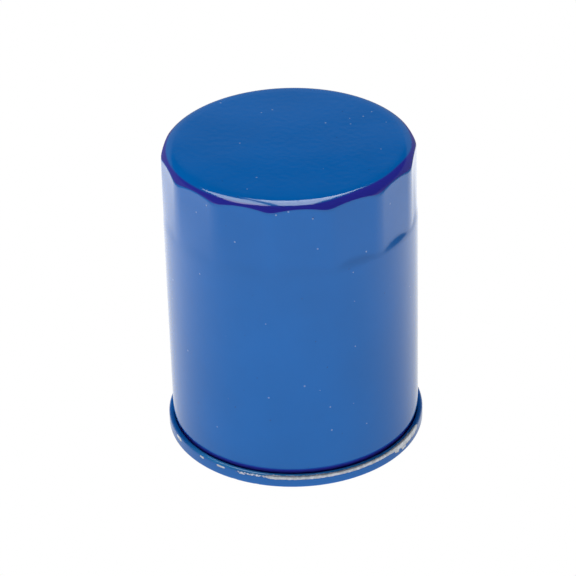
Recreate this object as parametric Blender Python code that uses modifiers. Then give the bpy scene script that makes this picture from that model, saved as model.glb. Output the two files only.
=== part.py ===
"""Spin-on oil filter, built piece by piece.

The filter stands on its gasket: the origin is the centre of the gasket's sealing face,
and +Z points up the axis to the closed end of the canister. Lengths are in metres.
"""

import math

import bmesh
import bpy
from mathutils import Matrix

MM = 0.001

# Overall sizes
CAN_RADIUS = 33.0 * MM          # outside of the drawn wall
OVERALL_HEIGHT = 85.5 * MM      # sealing face of the gasket to the crown
CAN_SHEET = 0.5 * MM
LID_SHEET = 0.4 * MM

# Running and resting clearances
REST_GAP = 0.3 * MM             # between pieces that rest on each other
SEAM_GAP = 0.1 * MM             # between the rolled layers of the seam

# Closed end of the canister
SHOULDER_RADIUS = 3.6 * MM
FLAT_COUNT = 14                 # wrench flats pressed round the closed end
FLAT_LENGTH = 19.0 * MM         # crown down to the foot of a flat
FLAT_RUNOUT = 1.4 * MM

# Double seam at the open end
SEAM_PROUD = 1.2 * MM           # how far the seam stands out from the wall
SEAM_HEIGHT = 3.7 * MM
SEAM_EDGE_RADIUS = 0.6 * MM     # lower corners of the rolled lid
NECK_RISE = 1.7 * MM            # height over which the wall narrows into the seam
SEALANT_POCKET = 0.7 * MM       # room above the body hook, inside the fold
COVER_HOOK_CLEARANCE = 0.5 * MM

# Gasket and its channel in the lid
GASKET_PROUD = 2.0 * MM         # how far the gasket stands below the seam
GASKET_WIDTH = 4.2 * MM
GASKET_HEIGHT = 5.0 * MM
GASKET_SIDE_GAP = 0.4 * MM
GASKET_EDGE = 0.5 * MM
BEAD_WIDTH = 1.2 * MM           # folded bead that keeps the gasket from moving inwards
BEAD_DROP = 3.0 * MM
WELD_FLANGE = 4.2 * MM

# Base plate with its threaded hub, M20 x 1.5
PLATE_THICKNESS = 3.0 * MM
PLATE_SIDE_GAP = 0.5 * MM
PLATE_EDGE = 0.5 * MM
THREAD_BORE_RADIUS = 9.2 * MM
THREAD_LEAD_IN = 1.4 * MM
HUB_WALL = 3.3 * MM
HUB_RISE = 7.0 * MM
HUB_FILLET = 1.0 * MM
INLET_COUNT = 8
INLET_RADIUS = 2.7 * MM
INLET_WEB = 1.4 * MM            # metal between the hub's fillet and an inlet
WELD_COUNT = 6
WELD_RADIUS = 1.6 * MM
WELD_DEPTH = 0.8 * MM           # how deep a weld runs into the plate

# Anti-drain-back valve
VALVE_WALL = 1.5 * MM
VALVE_SKIRT = 0.9 * MM
VALVE_COLLAR_DROP = 3.6 * MM    # straight part of the collar below its flange
VALVE_FLANGE_REACH = 4.0 * MM   # flange beyond the hub's outside
VALVE_RIM_COVER = 1.6 * MM      # how far the flange reaches inwards over the hub's rim
VALVE_LIP_MARGIN = 2.6 * MM     # sealing lip beyond the inlets
VALVE_LIP_WIDTH = 0.9 * MM

# Filter element
OIL_ANNULUS = 3.3 * MM          # space between the canister and the element
CAP_SHEET = 0.4 * MM
CAP_RIM = 4.0 * MM
BOND_THICKNESS = 2.0 * MM
PLEAT_COUNT = 42
PAPER_THICKNESS = 0.7 * MM
PLEAT_FOLD = 1.1 * MM           # width across a fold's outer end
PLEAT_FOLD_INNER = 0.8 * MM
MEDIA_RIM_GAP = 1.9 * MM        # from the cap's rim to the outer folds' centre line
MEDIA_TUBE_GAP = 1.2 * MM
CLIP_SHEET = 0.4 * MM
CLIP_LEG = 4.0 * MM
TUBE_NECK_GAP = 1.9 * MM        # between the lower cap's neck and the tube
TUBE_SHEET = 0.4 * MM
TUBE_HOLE_RADIUS = 2.4 * MM
TUBE_HOLE_ROWS = 4
TUBE_HOLES_PER_ROW = 6

# Bypass valve in the element's upper end
BYPASS_DISC_THICKNESS = 0.8 * MM
BYPASS_SEAL_HEIGHT = 1.4 * MM
BYPASS_SEAL_WIDTH = 2.6 * MM
CAGE_TUBE_GAP = 0.5 * MM        # from the cage's flange to the inside of the tube
CAGE_SHEET = 0.5 * MM
CAGE_FLANGE = 3.2 * MM
CAGE_DEPTH = 14.0 * MM
CAGE_FLOOR_HOLE = 3.5 * MM
CAGE_WINDOWS = 4
CAGE_WINDOW_WIDTH = 8.0 * MM
CAGE_WINDOW_HEIGHT = 7.0 * MM
BYPASS_SEAT_MARGIN = 3.7 * MM   # from the inside of the cage in to the seat
BYPASS_COIL_MARGIN = 3.6 * MM   # from the inside of the cage in to the coil's centre line
BYPASS_WIRE_RADIUS = 0.5 * MM
BYPASS_COIL_TURNS = 5
SPIGOT_DROP = 1.5 * MM

# Leaf spring that holds the element down
SUPPORT_SPRING_HEIGHT = 5.5 * MM
SUPPORT_SHEET = 0.6 * MM
SUPPORT_RING_INNER = 11.0 * MM
SUPPORT_RING_OUTER = 16.5 * MM
SUPPORT_LEG_REACH = 10.0 * MM
SUPPORT_LEGS = 4

# Facets of the round pieces: whole numbers to a flat, so that the flats meet at mesh edges
CASE_SEGMENTS = 4 * FLAT_COUNT
INNER_SEGMENTS = 2 * FLAT_COUNT
HOLE_SEGMENTS = 12
SMALL_HOLE_SEGMENTS = 8

# Heights and radii that several pieces share
SEAM_BOTTOM = GASKET_PROUD
SEAM_TOP = SEAM_BOTTOM + SEAM_HEIGHT
SEAM_RADIUS = CAN_RADIUS + SEAM_PROUD
BODY_HOOK_OUTER = SEAM_RADIUS - LID_SHEET - SEAM_GAP
BODY_HOOK_INNER = BODY_HOOK_OUTER - CAN_SHEET
COVER_HOOK_OUTER = BODY_HOOK_INNER - SEAM_GAP
COVER_HOOK_INNER = COVER_HOOK_OUTER - LID_SHEET
NECK_RADIUS = COVER_HOOK_INNER - SEAM_GAP
HOOK_RADIUS = (BODY_HOOK_INNER - NECK_RADIUS) / 2
HOOK_CENTRE = SEAM_BOTTOM + LID_SHEET + SEAM_GAP + CAN_SHEET + HOOK_RADIUS
BODY_HOOK_TOP = SEAM_TOP - LID_SHEET - SEALANT_POCKET
COVER_HOOK_BOTTOM = HOOK_CENTRE - HOOK_RADIUS + COVER_HOOK_CLEARANCE
CHUCK_WALL_OUTER = NECK_RADIUS - CAN_SHEET - SEAM_GAP
CHUCK_WALL_INNER = CHUCK_WALL_OUTER - LID_SHEET
CHANNEL_FLOOR = GASKET_HEIGHT + REST_GAP
PLATE_BOTTOM = CHANNEL_FLOOR + LID_SHEET + REST_GAP
PLATE_TOP = PLATE_BOTTOM + PLATE_THICKNESS
HUB_TOP = PLATE_TOP + HUB_RISE
HUB_RADIUS = THREAD_BORE_RADIUS + HUB_WALL
INLET_CIRCLE = HUB_RADIUS + HUB_FILLET + INLET_WEB + INLET_RADIUS
GASKET_OUTER = CHUCK_WALL_INNER - GASKET_SIDE_GAP
GASKET_INNER = GASKET_OUTER - GASKET_WIDTH
BEAD_OUTER = GASKET_INNER - GASKET_SIDE_GAP
BEAD_INNER = BEAD_OUTER - BEAD_WIDTH
LID_HOLE_RADIUS = BEAD_INNER - WELD_FLANGE
WELD_CIRCLE = (LID_HOLE_RADIUS + BEAD_INNER) / 2
CAN_INNER_RADIUS = CAN_RADIUS - CAN_SHEET
CROWN_INSIDE = OVERALL_HEIGHT - CAN_SHEET
CAP_RADIUS = CAN_INNER_RADIUS - OIL_ANNULUS
CAP_RIM_INNER = CAP_RADIUS - CAP_SHEET
VALVE_FLANGE_BOTTOM = HUB_TOP + REST_GAP
VALVE_TOP = VALVE_FLANGE_BOTTOM + VALVE_WALL
LOWER_CAP_BOTTOM = VALVE_TOP + REST_GAP
LOWER_BOND_BOTTOM = LOWER_CAP_BOTTOM + CAP_SHEET + REST_GAP
MEDIA_BOTTOM = LOWER_BOND_BOTTOM + BOND_THICKNESS + REST_GAP
UPPER_CAP_TOP = CROWN_INSIDE - SUPPORT_SPRING_HEIGHT
UPPER_CAP_UNDER = UPPER_CAP_TOP - CAP_SHEET
UPPER_BOND_TOP = UPPER_CAP_UNDER - REST_GAP
MEDIA_TOP = UPPER_BOND_TOP - BOND_THICKNESS - REST_GAP
TUBE_INNER = HUB_RADIUS + TUBE_NECK_GAP
TUBE_RADIUS = TUBE_INNER + TUBE_SHEET
CAGE_RADIUS = TUBE_INNER - CAGE_TUBE_GAP - CAGE_FLANGE - CAGE_SHEET
BYPASS_SEAT_RADIUS = CAGE_RADIUS - BYPASS_SEAT_MARGIN
BYPASS_COIL_RADIUS = CAGE_RADIUS - BYPASS_COIL_MARGIN
CAGE_TOP = UPPER_CAP_UNDER - REST_GAP
CAGE_FLOOR = CAGE_TOP - CAGE_DEPTH
SEAL_TOP = UPPER_CAP_UNDER - REST_GAP
SEAL_BOTTOM = SEAL_TOP - BYPASS_SEAL_HEIGHT
DISC_TOP = SEAL_BOTTOM - REST_GAP
DISC_BOTTOM = DISC_TOP - BYPASS_DISC_THICKNESS


def make_collection(name):
    collection = bpy.data.collections.new(name)
    bpy.context.scene.collection.children.link(collection)
    return collection


def clear_scene():
    for old in list(bpy.data.objects):
        bpy.data.objects.remove(old, do_unlink=True)


clear_scene()
FILTER = make_collection("oil_filter")
CUTTERS = make_collection("cutters")


def finish(name, colour, roughness, metallic):
    """A Principled material in one plain colour."""
    made = bpy.data.materials.new(name)
    made.use_nodes = True
    shader = made.node_tree.nodes["Principled BSDF"]
    shader.inputs["Base Color"].default_value = (*colour, 1.0)
    shader.inputs["Roughness"].default_value = roughness
    shader.inputs["Metallic"].default_value = metallic
    return made


BLUE_PAINT = ("blue_paint", (0.025, 0.13, 0.40), 0.25, 0.0)
ZINC_STEEL = ("zinc_steel", (0.62, 0.60, 0.52), 0.35, 1.0)
BRIGHT_STEEL = ("bright_steel", (0.66, 0.67, 0.68), 0.30, 1.0)
SPRING_STEEL = ("spring_steel", (0.42, 0.42, 0.43), 0.32, 1.0)
BLACK_RUBBER = ("black_rubber", (0.02, 0.02, 0.02), 0.55, 0.0)
RED_SILICONE = ("red_silicone", (0.55, 0.08, 0.03), 0.45, 0.0)
SEALING_COMPOUND = ("sealing_compound", (0.16, 0.17, 0.16), 0.60, 0.0)
CREAM_PLASTISOL = ("cream_plastisol", (0.70, 0.62, 0.42), 0.50, 0.0)
FILTER_PAPER = ("filter_paper", (0.72, 0.55, 0.30), 0.90, 0.0)


def add_piece(name, mesh, look):
    """Link a mesh as one named piece with its own material."""
    label, colour, roughness, metallic = look
    mesh.materials.append(finish(f"{name}_{label}", colour, roughness, metallic))
    piece = bpy.data.objects.new(name, mesh)
    FILTER.objects.link(piece)
    return piece


def arc(centre_r, centre_z, radius, start, end, steps):
    """Points along an arc, angles in degrees from +r towards +z."""
    points = []
    for step in range(steps + 1):
        angle = math.radians(start + (end - start) * step / steps)
        points.append((centre_r + radius * math.cos(angle), centre_z + radius * math.sin(angle)))
    return points


def offset_line(points, distance, closed=False):
    """A line parallel to the given one, on its right-hand side, with mitred corners."""
    count = len(points)
    moved = []
    for index, (x, y) in enumerate(points):
        before = points[index - 1] if index or closed else None
        after = points[(index + 1) % count] if index < count - 1 or closed else None
        normals = []
        for start, end in ((before, (x, y)), ((x, y), after)):
            if start is None or end is None:
                continue
            length = math.hypot(end[0] - start[0], end[1] - start[1])
            normals.append(((end[1] - start[1]) / length, (start[0] - end[0]) / length))
        if len(normals) == 1:
            normals.append(normals[0])
        (ax, ay), (bx, by) = normals
        scale = distance / (1 + ax * bx + ay * by)
        moved.append((x + (ax + bx) * scale, y + (ay + by) * scale))
    return moved


def sheet_profile(surface, thickness):
    """A bent sheet's closed section: one surface, and the other on its right-hand side."""
    return surface + offset_line(surface, thickness)[::-1]


def signed_area(points):
    total = 0.0
    for (x0, y0), (x1, y1) in zip(points, points[1:] + points[:1]):
        total += x0 * y1 - x1 * y0
    return total / 2


def turned(name, profile, look, segments):
    """A turned piece: its section in the XZ plane, swept once round Z."""
    if signed_area(profile) > 0:
        profile = profile[::-1]
    on_axis = [index for index, point in enumerate(profile) if point[0] < 1e-7]
    edges = [(index, (index + 1) % len(profile)) for index in range(len(profile))]
    edges = [edge for edge in edges if not (edge[0] in on_axis and edge[1] in on_axis)]
    mesh = bpy.data.meshes.new(name)
    mesh.from_pydata([(r, 0.0, z) for r, z in profile], edges, [])
    piece = add_piece(name, mesh, look)
    screw = piece.modifiers.new("turn", "SCREW")
    screw.axis = "Z"
    screw.angle = math.tau
    screw.steps = segments
    screw.render_steps = segments
    screw.use_merge_vertices = True
    screw.merge_threshold = 1e-5
    screw.use_smooth_shade = True
    return piece


def ring(name, inner, outer, bottom, top, look, segments):
    section = [(inner, top), (outer, top), (outer, bottom), (inner, bottom)]
    return turned(name, section, look, segments)


def bake(piece):
    """Turn a piece's modifiers into its mesh."""
    evaluated = piece.evaluated_get(bpy.context.evaluated_depsgraph_get())
    mesh = bpy.data.meshes.new_from_object(evaluated)
    piece.modifiers.clear()
    piece.data = mesh


def cut(piece, cutter_mesh):
    """Take the cutter's bodies away from a piece."""
    cutter = bpy.data.objects.new(cutter_mesh.name, cutter_mesh)
    CUTTERS.objects.link(cutter)
    cutter.hide_render = True
    cutter.display_type = "WIRE"
    boolean = piece.modifiers.new("cut", "BOOLEAN")
    boolean.operation = "DIFFERENCE"
    boolean.object = cutter


def drill_mesh(name, radius, length, places, segments):
    """Cylinders for a cutter, each standing at one of the given matrices."""
    built = bmesh.new()
    for place in places:
        bmesh.ops.create_cone(
            built, cap_ends=True, segments=segments, radius1=radius, radius2=radius,
            depth=length, matrix=place)
    mesh = bpy.data.meshes.new(name)
    built.to_mesh(mesh)
    built.free()
    return mesh


def round_places(count, radius, height, start=0.0):
    """Matrices evenly spaced round the axis."""
    places = []
    for index in range(count):
        turn = Matrix.Rotation(start + math.tau * index / count, 4, "Z")
        places.append(turn @ Matrix.Translation((radius, 0.0, height)))
    return places


def extruded(name, outlines, bottom, top, look):
    """A flat outline, with any inner outline as its hole, raised between two heights."""
    curve = bpy.data.curves.new(name, "CURVE")
    curve.dimensions = "2D"
    curve.fill_mode = "BOTH"
    curve.extrude = (top - bottom) / 2
    for outline in outlines:
        spline = curve.splines.new("POLY")
        spline.points.add(len(outline) - 1)
        for point, (x, y) in zip(spline.points, outline):
            point.co = (x, y, 0.0, 1.0)
        spline.use_cyclic_u = True
    drawn = bpy.data.objects.new(name + "_outline", curve)
    FILTER.objects.link(drawn)
    evaluated = drawn.evaluated_get(bpy.context.evaluated_depsgraph_get())
    mesh = bpy.data.meshes.new_from_object(evaluated)
    bpy.data.objects.remove(drawn)
    built = bmesh.new()
    built.from_mesh(mesh)
    bmesh.ops.remove_doubles(built, verts=built.verts, dist=1e-6)
    bmesh.ops.recalc_face_normals(built, faces=built.faces)
    built.to_mesh(mesh)
    built.free()
    mesh.name = name
    piece = add_piece(name, mesh, look)
    piece.location.z = (top + bottom) / 2
    return piece


def flat_radius(angle):
    """Distance from the axis to the wrench flat that faces this angle."""
    half = math.pi / FLAT_COUNT
    from_middle = angle % (2 * half) - half
    return CAN_RADIUS * math.cos(half) / math.cos(from_middle)


def press_wrench_flats(mesh):
    """Press the flats round the closed end; the ridges between them stay on the wall."""
    foot = OVERALL_HEIGHT - FLAT_LENGTH
    shoulder_foot = OVERALL_HEIGHT - SHOULDER_RADIUS
    crown_radius = CAN_RADIUS - SHOULDER_RADIUS
    for vertex in mesh.vertices:
        x, y, z = vertex.co
        radius = math.hypot(x, y)
        if z < foot or radius <= crown_radius:
            continue
        above = max(0.0, z - shoulder_foot)
        depth_in_sheet = SHOULDER_RADIUS - math.hypot(radius - crown_radius, above)
        limit = flat_radius(math.atan2(y, x)) - depth_in_sheet
        scale = min(1.0, limit / radius)
        vertex.co = (x * scale, y * scale, z)


def make_canister():
    """Drawn can: flat crown, rounded shoulder, wrench flats, neck and body hook."""
    foot = OVERALL_HEIGHT - FLAT_LENGTH
    crown_radius = CAN_RADIUS - SHOULDER_RADIUS
    outside = [(0.0, OVERALL_HEIGHT)]
    outside += arc(crown_radius, OVERALL_HEIGHT - SHOULDER_RADIUS, SHOULDER_RADIUS, 90, 0, 4)
    outside += [
        (CAN_RADIUS, foot + FLAT_RUNOUT / 2),
        (CAN_RADIUS, foot - FLAT_RUNOUT / 2),
        (CAN_RADIUS, SEAM_TOP + NECK_RISE),
        (NECK_RADIUS, SEAM_TOP),
    ]
    outside += arc(NECK_RADIUS + HOOK_RADIUS, HOOK_CENTRE, HOOK_RADIUS, 180, 360, 4)
    outside.append((BODY_HOOK_INNER, BODY_HOOK_TOP))
    canister = turned("canister", sheet_profile(outside, CAN_SHEET), BLUE_PAINT, CASE_SEGMENTS)
    bake(canister)
    press_wrench_flats(canister.data)
    canister.data.set_sharp_from_angle(angle=math.radians(40))


def make_seaming_lid():
    """Thin lid: weld flange, folded bead, gasket channel and the rolled seam."""
    bead_radius = BEAD_WIDTH / 2
    bead_centre = CHANNEL_FLOOR - BEAD_DROP + bead_radius
    fold_radius = (SEAM_RADIUS - COVER_HOOK_INNER) / 2
    fold_centre = SEAM_TOP - fold_radius
    corner = SEAM_EDGE_RADIUS
    underside = [(LID_HOLE_RADIUS, CHANNEL_FLOOR), (BEAD_INNER, CHANNEL_FLOOR)]
    underside += arc(BEAD_INNER + bead_radius, bead_centre, bead_radius, 180, 360, 3)
    underside += [(BEAD_OUTER, CHANNEL_FLOOR), (CHUCK_WALL_INNER, CHANNEL_FLOOR)]
    underside += arc(CHUCK_WALL_INNER + corner, SEAM_BOTTOM + corner, corner, 180, 270, 2)
    underside += arc(SEAM_RADIUS - corner, SEAM_BOTTOM + corner, corner, 270, 360, 2)
    underside += arc(SEAM_RADIUS - fold_radius, fold_centre, fold_radius, 0, 180, 4)
    underside.append((COVER_HOOK_INNER, COVER_HOOK_BOTTOM))
    section = underside + offset_line(underside, -LID_SHEET)[::-1]
    lid = turned("seaming_lid", section, ZINC_STEEL, CASE_SEGMENTS)
    places = round_places(WELD_COUNT, WELD_CIRCLE, CHANNEL_FLOOR)
    cut(lid, drill_mesh("lid_weld_holes", WELD_RADIUS + REST_GAP, 4 * LID_SHEET, places,
                        SMALL_HOLE_SEGMENTS))


def make_seam_sealant():
    """Bead of compound in the pocket above the body hook."""
    pocket_top = SEAM_TOP - LID_SHEET
    ring("seam_sealant", BODY_HOOK_INNER + SEAM_GAP, BODY_HOOK_OUTER - SEAM_GAP,
         BODY_HOOK_TOP + SEAM_GAP, pocket_top - 2 * SEAM_GAP, SEALING_COMPOUND, CASE_SEGMENTS)


def make_mounting_gasket():
    """Square-section rubber ring whose lower face seals on the engine."""
    edge = GASKET_EDGE
    section = [
        (GASKET_INNER, GASKET_HEIGHT),
        (GASKET_OUTER, GASKET_HEIGHT),
        (GASKET_OUTER, edge),
        (GASKET_OUTER - edge, 0.0),
        (GASKET_INNER + edge, 0.0),
        (GASKET_INNER, edge),
    ]
    turned("mounting_gasket", section, BLACK_RUBBER, INNER_SEGMENTS)


def make_base_plate():
    """Thick plate with the threaded hub and the ring of oil inlets."""
    outer = NECK_RADIUS - CAN_SHEET - PLATE_SIDE_GAP
    edge = PLATE_EDGE
    section = [
        (THREAD_BORE_RADIUS, HUB_TOP),
        (HUB_RADIUS - edge, HUB_TOP),
        (HUB_RADIUS, HUB_TOP - edge),
        (HUB_RADIUS, PLATE_TOP + HUB_FILLET),
        (HUB_RADIUS + HUB_FILLET, PLATE_TOP),
        (outer - edge, PLATE_TOP),
        (outer, PLATE_TOP - edge),
        (outer, PLATE_BOTTOM),
        (THREAD_BORE_RADIUS + THREAD_LEAD_IN, PLATE_BOTTOM),
        (THREAD_BORE_RADIUS, PLATE_BOTTOM + THREAD_LEAD_IN),
    ]
    plate = turned("base_plate", section, ZINC_STEEL, INNER_SEGMENTS)
    middle = (PLATE_BOTTOM + PLATE_TOP) / 2
    inlets = round_places(INLET_COUNT, INLET_CIRCLE, middle)
    cut(plate, drill_mesh("inlet_holes", INLET_RADIUS, 2 * PLATE_THICKNESS, inlets,
                          HOLE_SEGMENTS))
    pockets = round_places(WELD_COUNT, WELD_CIRCLE, PLATE_BOTTOM)
    cut(plate, drill_mesh("weld_pockets", WELD_RADIUS + REST_GAP, 2 * (WELD_DEPTH + REST_GAP),
                          pockets, SMALL_HOLE_SEGMENTS))


def make_spot_welds():
    """Slugs of fused metal that hold the lid to the base plate."""
    bottom = CHANNEL_FLOOR
    top = PLATE_BOTTOM + WELD_DEPTH
    middle = (bottom + top) / 2
    places = round_places(WELD_COUNT, WELD_CIRCLE, middle)
    for number, place in enumerate(places, start=1):
        name = f"spot_weld_{number}"
        mesh = drill_mesh(name, WELD_RADIUS, top - bottom, [Matrix()], SMALL_HOLE_SEGMENTS)
        weld = add_piece(name, mesh, BRIGHT_STEEL)
        weld.location = place.translation


def make_drainback_valve():
    """Moulded silicone ring: flange over the hub's rim, collar, and a skirt over the inlets."""
    collar_inner = HUB_RADIUS + REST_GAP
    collar_outer = collar_inner + VALVE_WALL
    collar_bottom = VALVE_FLANGE_BOTTOM - VALVE_COLLAR_DROP
    lip_outer = INLET_CIRCLE + INLET_RADIUS + VALVE_LIP_MARGIN
    lip_bottom = PLATE_TOP + REST_GAP
    lip_top = lip_bottom + VALVE_LIP_WIDTH
    section = [
        (HUB_RADIUS - VALVE_RIM_COVER, VALVE_TOP),
        (HUB_RADIUS + VALVE_FLANGE_REACH, VALVE_TOP),
        (HUB_RADIUS + VALVE_FLANGE_REACH, VALVE_FLANGE_BOTTOM),
        (collar_outer, VALVE_FLANGE_BOTTOM),
        (collar_outer, collar_bottom),
        (lip_outer, lip_top),
        (lip_outer, lip_bottom),
        (lip_outer - VALVE_LIP_WIDTH, lip_bottom),
        (collar_outer, collar_bottom - VALVE_SKIRT),
        (collar_inner, collar_bottom - VALVE_SKIRT),
        (collar_inner, VALVE_FLANGE_BOTTOM),
        (HUB_RADIUS - VALVE_RIM_COVER, VALVE_FLANGE_BOTTOM),
    ]
    turned("anti_drainback_valve", section, RED_SILICONE, INNER_SEGMENTS)


def make_lower_end_cap():
    """Pressed cup under the media, with its inner edge turned up inside the tube."""
    inner = HUB_RADIUS - CAP_SHEET
    underside = [
        (inner, LOWER_CAP_BOTTOM + CAP_RIM),
        (inner, LOWER_CAP_BOTTOM),
        (CAP_RADIUS, LOWER_CAP_BOTTOM),
        (CAP_RADIUS, LOWER_CAP_BOTTOM + CAP_RIM),
    ]
    section = underside + offset_line(underside, -CAP_SHEET)[::-1]
    turned("lower_end_cap", section, BRIGHT_STEEL, INNER_SEGMENTS)
    ring("lower_bond_ring", HUB_RADIUS + REST_GAP, CAP_RIM_INNER - REST_GAP,
         LOWER_BOND_BOTTOM, LOWER_BOND_BOTTOM + BOND_THICKNESS, CREAM_PLASTISOL,
         INNER_SEGMENTS)


def make_upper_end_cap():
    """Pressed cup over the media, with the bypass valve's seat in its middle."""
    topside = [
        (BYPASS_SEAT_RADIUS, UPPER_CAP_TOP),
        (CAP_RADIUS, UPPER_CAP_TOP),
        (CAP_RADIUS, UPPER_CAP_TOP - CAP_RIM),
    ]
    turned("upper_end_cap", sheet_profile(topside, CAP_SHEET), BRIGHT_STEEL, INNER_SEGMENTS)
    ring("upper_bond_ring", CAGE_RADIUS + CAGE_SHEET + CAGE_FLANGE + REST_GAP,
         CAP_RIM_INNER - REST_GAP, UPPER_BOND_TOP - BOND_THICKNESS, UPPER_BOND_TOP,
         CREAM_PLASTISOL, INNER_SEGMENTS)


def pleat_line():
    """Centre line of the pleated paper, as one closed loop round the axis."""
    outer = CAP_RIM_INNER - MEDIA_RIM_GAP
    inner = TUBE_RADIUS + MEDIA_TUBE_GAP + PAPER_THICKNESS / 2
    half_outer = PLEAT_FOLD / (2 * outer)
    half_inner = PLEAT_FOLD_INNER / (2 * inner)
    points = []
    for index in range(PLEAT_COUNT):
        crest = math.tau * index / PLEAT_COUNT
        valley = crest + math.pi / PLEAT_COUNT
        folds = (
            (outer, crest - half_outer),
            (outer, crest + half_outer),
            (inner, valley - half_inner),
            (inner, valley + half_inner),
        )
        points += [(r * math.cos(angle), r * math.sin(angle)) for r, angle in folds]
    return points


def make_filter_media():
    """Pleated paper ring, and the clip that joins its two ends over one outer fold."""
    line = pleat_line()
    outer_side = offset_line(line, PAPER_THICKNESS / 2, closed=True)
    inner_side = offset_line(line, -PAPER_THICKNESS / 2, closed=True)
    extruded("filter_media", [outer_side, inner_side], MEDIA_BOTTOM, MEDIA_TOP, FILTER_PAPER)

    fold_outer = CAP_RIM_INNER - MEDIA_RIM_GAP + PAPER_THICKNESS / 2
    back = fold_outer + REST_GAP
    half_inside = PLEAT_FOLD / 2 + PAPER_THICKNESS / 2 + REST_GAP
    tip = back - CLIP_LEG
    path = [(tip, half_inside), (back, half_inside), (back, -half_inside), (tip, -half_inside)]
    outline = path + offset_line(path, -CLIP_SHEET)[::-1]
    extruded("media_seam_clip", [outline], MEDIA_BOTTOM, MEDIA_TOP, BRIGHT_STEEL)


def make_center_tube():
    """Perforated tube that keeps the pleats from collapsing inwards."""
    tube = ring("center_tube", TUBE_INNER, TUBE_RADIUS, MEDIA_BOTTOM, MEDIA_TOP, BRIGHT_STEEL,
                INNER_SEGMENTS)
    pitch = (MEDIA_TOP - MEDIA_BOTTOM) / TUBE_HOLE_ROWS
    sideways = Matrix.Rotation(math.pi / 2, 4, "Y")
    places = []
    for row in range(TUBE_HOLE_ROWS):
        height = MEDIA_BOTTOM + (row + 0.5) * pitch
        start = (row % 2) * math.pi / TUBE_HOLES_PER_ROW
        for place in round_places(TUBE_HOLES_PER_ROW, TUBE_RADIUS, height, start):
            places.append(place @ sideways)
    cut(tube, drill_mesh("tube_holes", TUBE_HOLE_RADIUS, 10 * TUBE_SHEET, places,
                         SMALL_HOLE_SEGMENTS))


def make_bypass_cage():
    """Windowed cup under the upper cap that carries the bypass spring."""
    inside = [
        (CAGE_FLOOR_HOLE, CAGE_FLOOR + CAGE_SHEET),
        (CAGE_RADIUS, CAGE_FLOOR + CAGE_SHEET),
        (CAGE_RADIUS, CAGE_TOP),
        (CAGE_RADIUS + CAGE_SHEET + CAGE_FLANGE, CAGE_TOP),
    ]
    cage = turned("bypass_cage", sheet_profile(inside, CAGE_SHEET), BRIGHT_STEEL,
                  INNER_SEGMENTS)
    middle = (CAGE_FLOOR + CAGE_TOP) / 2
    built = bmesh.new()
    shape = Matrix.Diagonal((6 * CAGE_SHEET, CAGE_WINDOW_WIDTH, CAGE_WINDOW_HEIGHT, 1.0))
    for place in round_places(CAGE_WINDOWS, CAGE_RADIUS + CAGE_SHEET / 2, middle):
        bmesh.ops.create_cube(built, size=1.0, matrix=place @ shape)
    windows = bpy.data.meshes.new("cage_windows")
    built.to_mesh(windows)
    built.free()
    cut(cage, windows)


def make_bypass_valve():
    """Disc with a spigot for the spring, and the rubber ring that meets the seat."""
    disc_radius = CAGE_RADIUS - REST_GAP
    spigot_radius = BYPASS_COIL_RADIUS - BYPASS_WIRE_RADIUS - REST_GAP
    section = [
        (0.0, DISC_TOP),
        (disc_radius, DISC_TOP),
        (disc_radius, DISC_BOTTOM),
        (spigot_radius, DISC_BOTTOM),
        (spigot_radius, DISC_BOTTOM - SPIGOT_DROP),
        (0.0, DISC_BOTTOM - SPIGOT_DROP),
    ]
    turned("bypass_disc", section, BRIGHT_STEEL, INNER_SEGMENTS)
    seal_inner = BYPASS_SEAT_RADIUS + REST_GAP
    ring("bypass_seal", seal_inner, seal_inner + BYPASS_SEAL_WIDTH, SEAL_BOTTOM, SEAL_TOP,
         BLACK_RUBBER, INNER_SEGMENTS)


def make_bypass_spring():
    """Compression spring with a close turn at each end."""
    low = CAGE_FLOOR + CAGE_SHEET + REST_GAP + BYPASS_WIRE_RADIUS
    high = DISC_BOTTOM - REST_GAP - BYPASS_WIRE_RADIUS
    end_rise = 2.3 * BYPASS_WIRE_RADIUS
    open_turns = BYPASS_COIL_TURNS - 2
    open_pitch = (high - low - 2 * end_rise) / open_turns
    points_per_turn = 10
    curve = bpy.data.curves.new("bypass_spring", "CURVE")
    curve.dimensions = "3D"
    curve.bevel_depth = BYPASS_WIRE_RADIUS
    curve.bevel_resolution = 1
    curve.use_fill_caps = True
    spline = curve.splines.new("POLY")
    total = BYPASS_COIL_TURNS * points_per_turn
    spline.points.add(total)
    for index, point in enumerate(spline.points):
        turn = index / points_per_turn
        rise = min(turn, 1.0) * end_rise
        rise += min(max(turn - 1.0, 0.0), open_turns) * open_pitch
        rise += max(turn - 1.0 - open_turns, 0.0) * end_rise
        angle = math.tau * turn
        x = BYPASS_COIL_RADIUS * math.cos(angle)
        y = BYPASS_COIL_RADIUS * math.sin(angle)
        point.co = (x, y, low + rise, 1.0)
    label, colour, roughness, metallic = SPRING_STEEL
    curve.materials.append(finish(f"bypass_spring_{label}", colour, roughness, metallic))
    spring = bpy.data.objects.new("bypass_spring", curve)
    FILTER.objects.link(spring)


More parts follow.
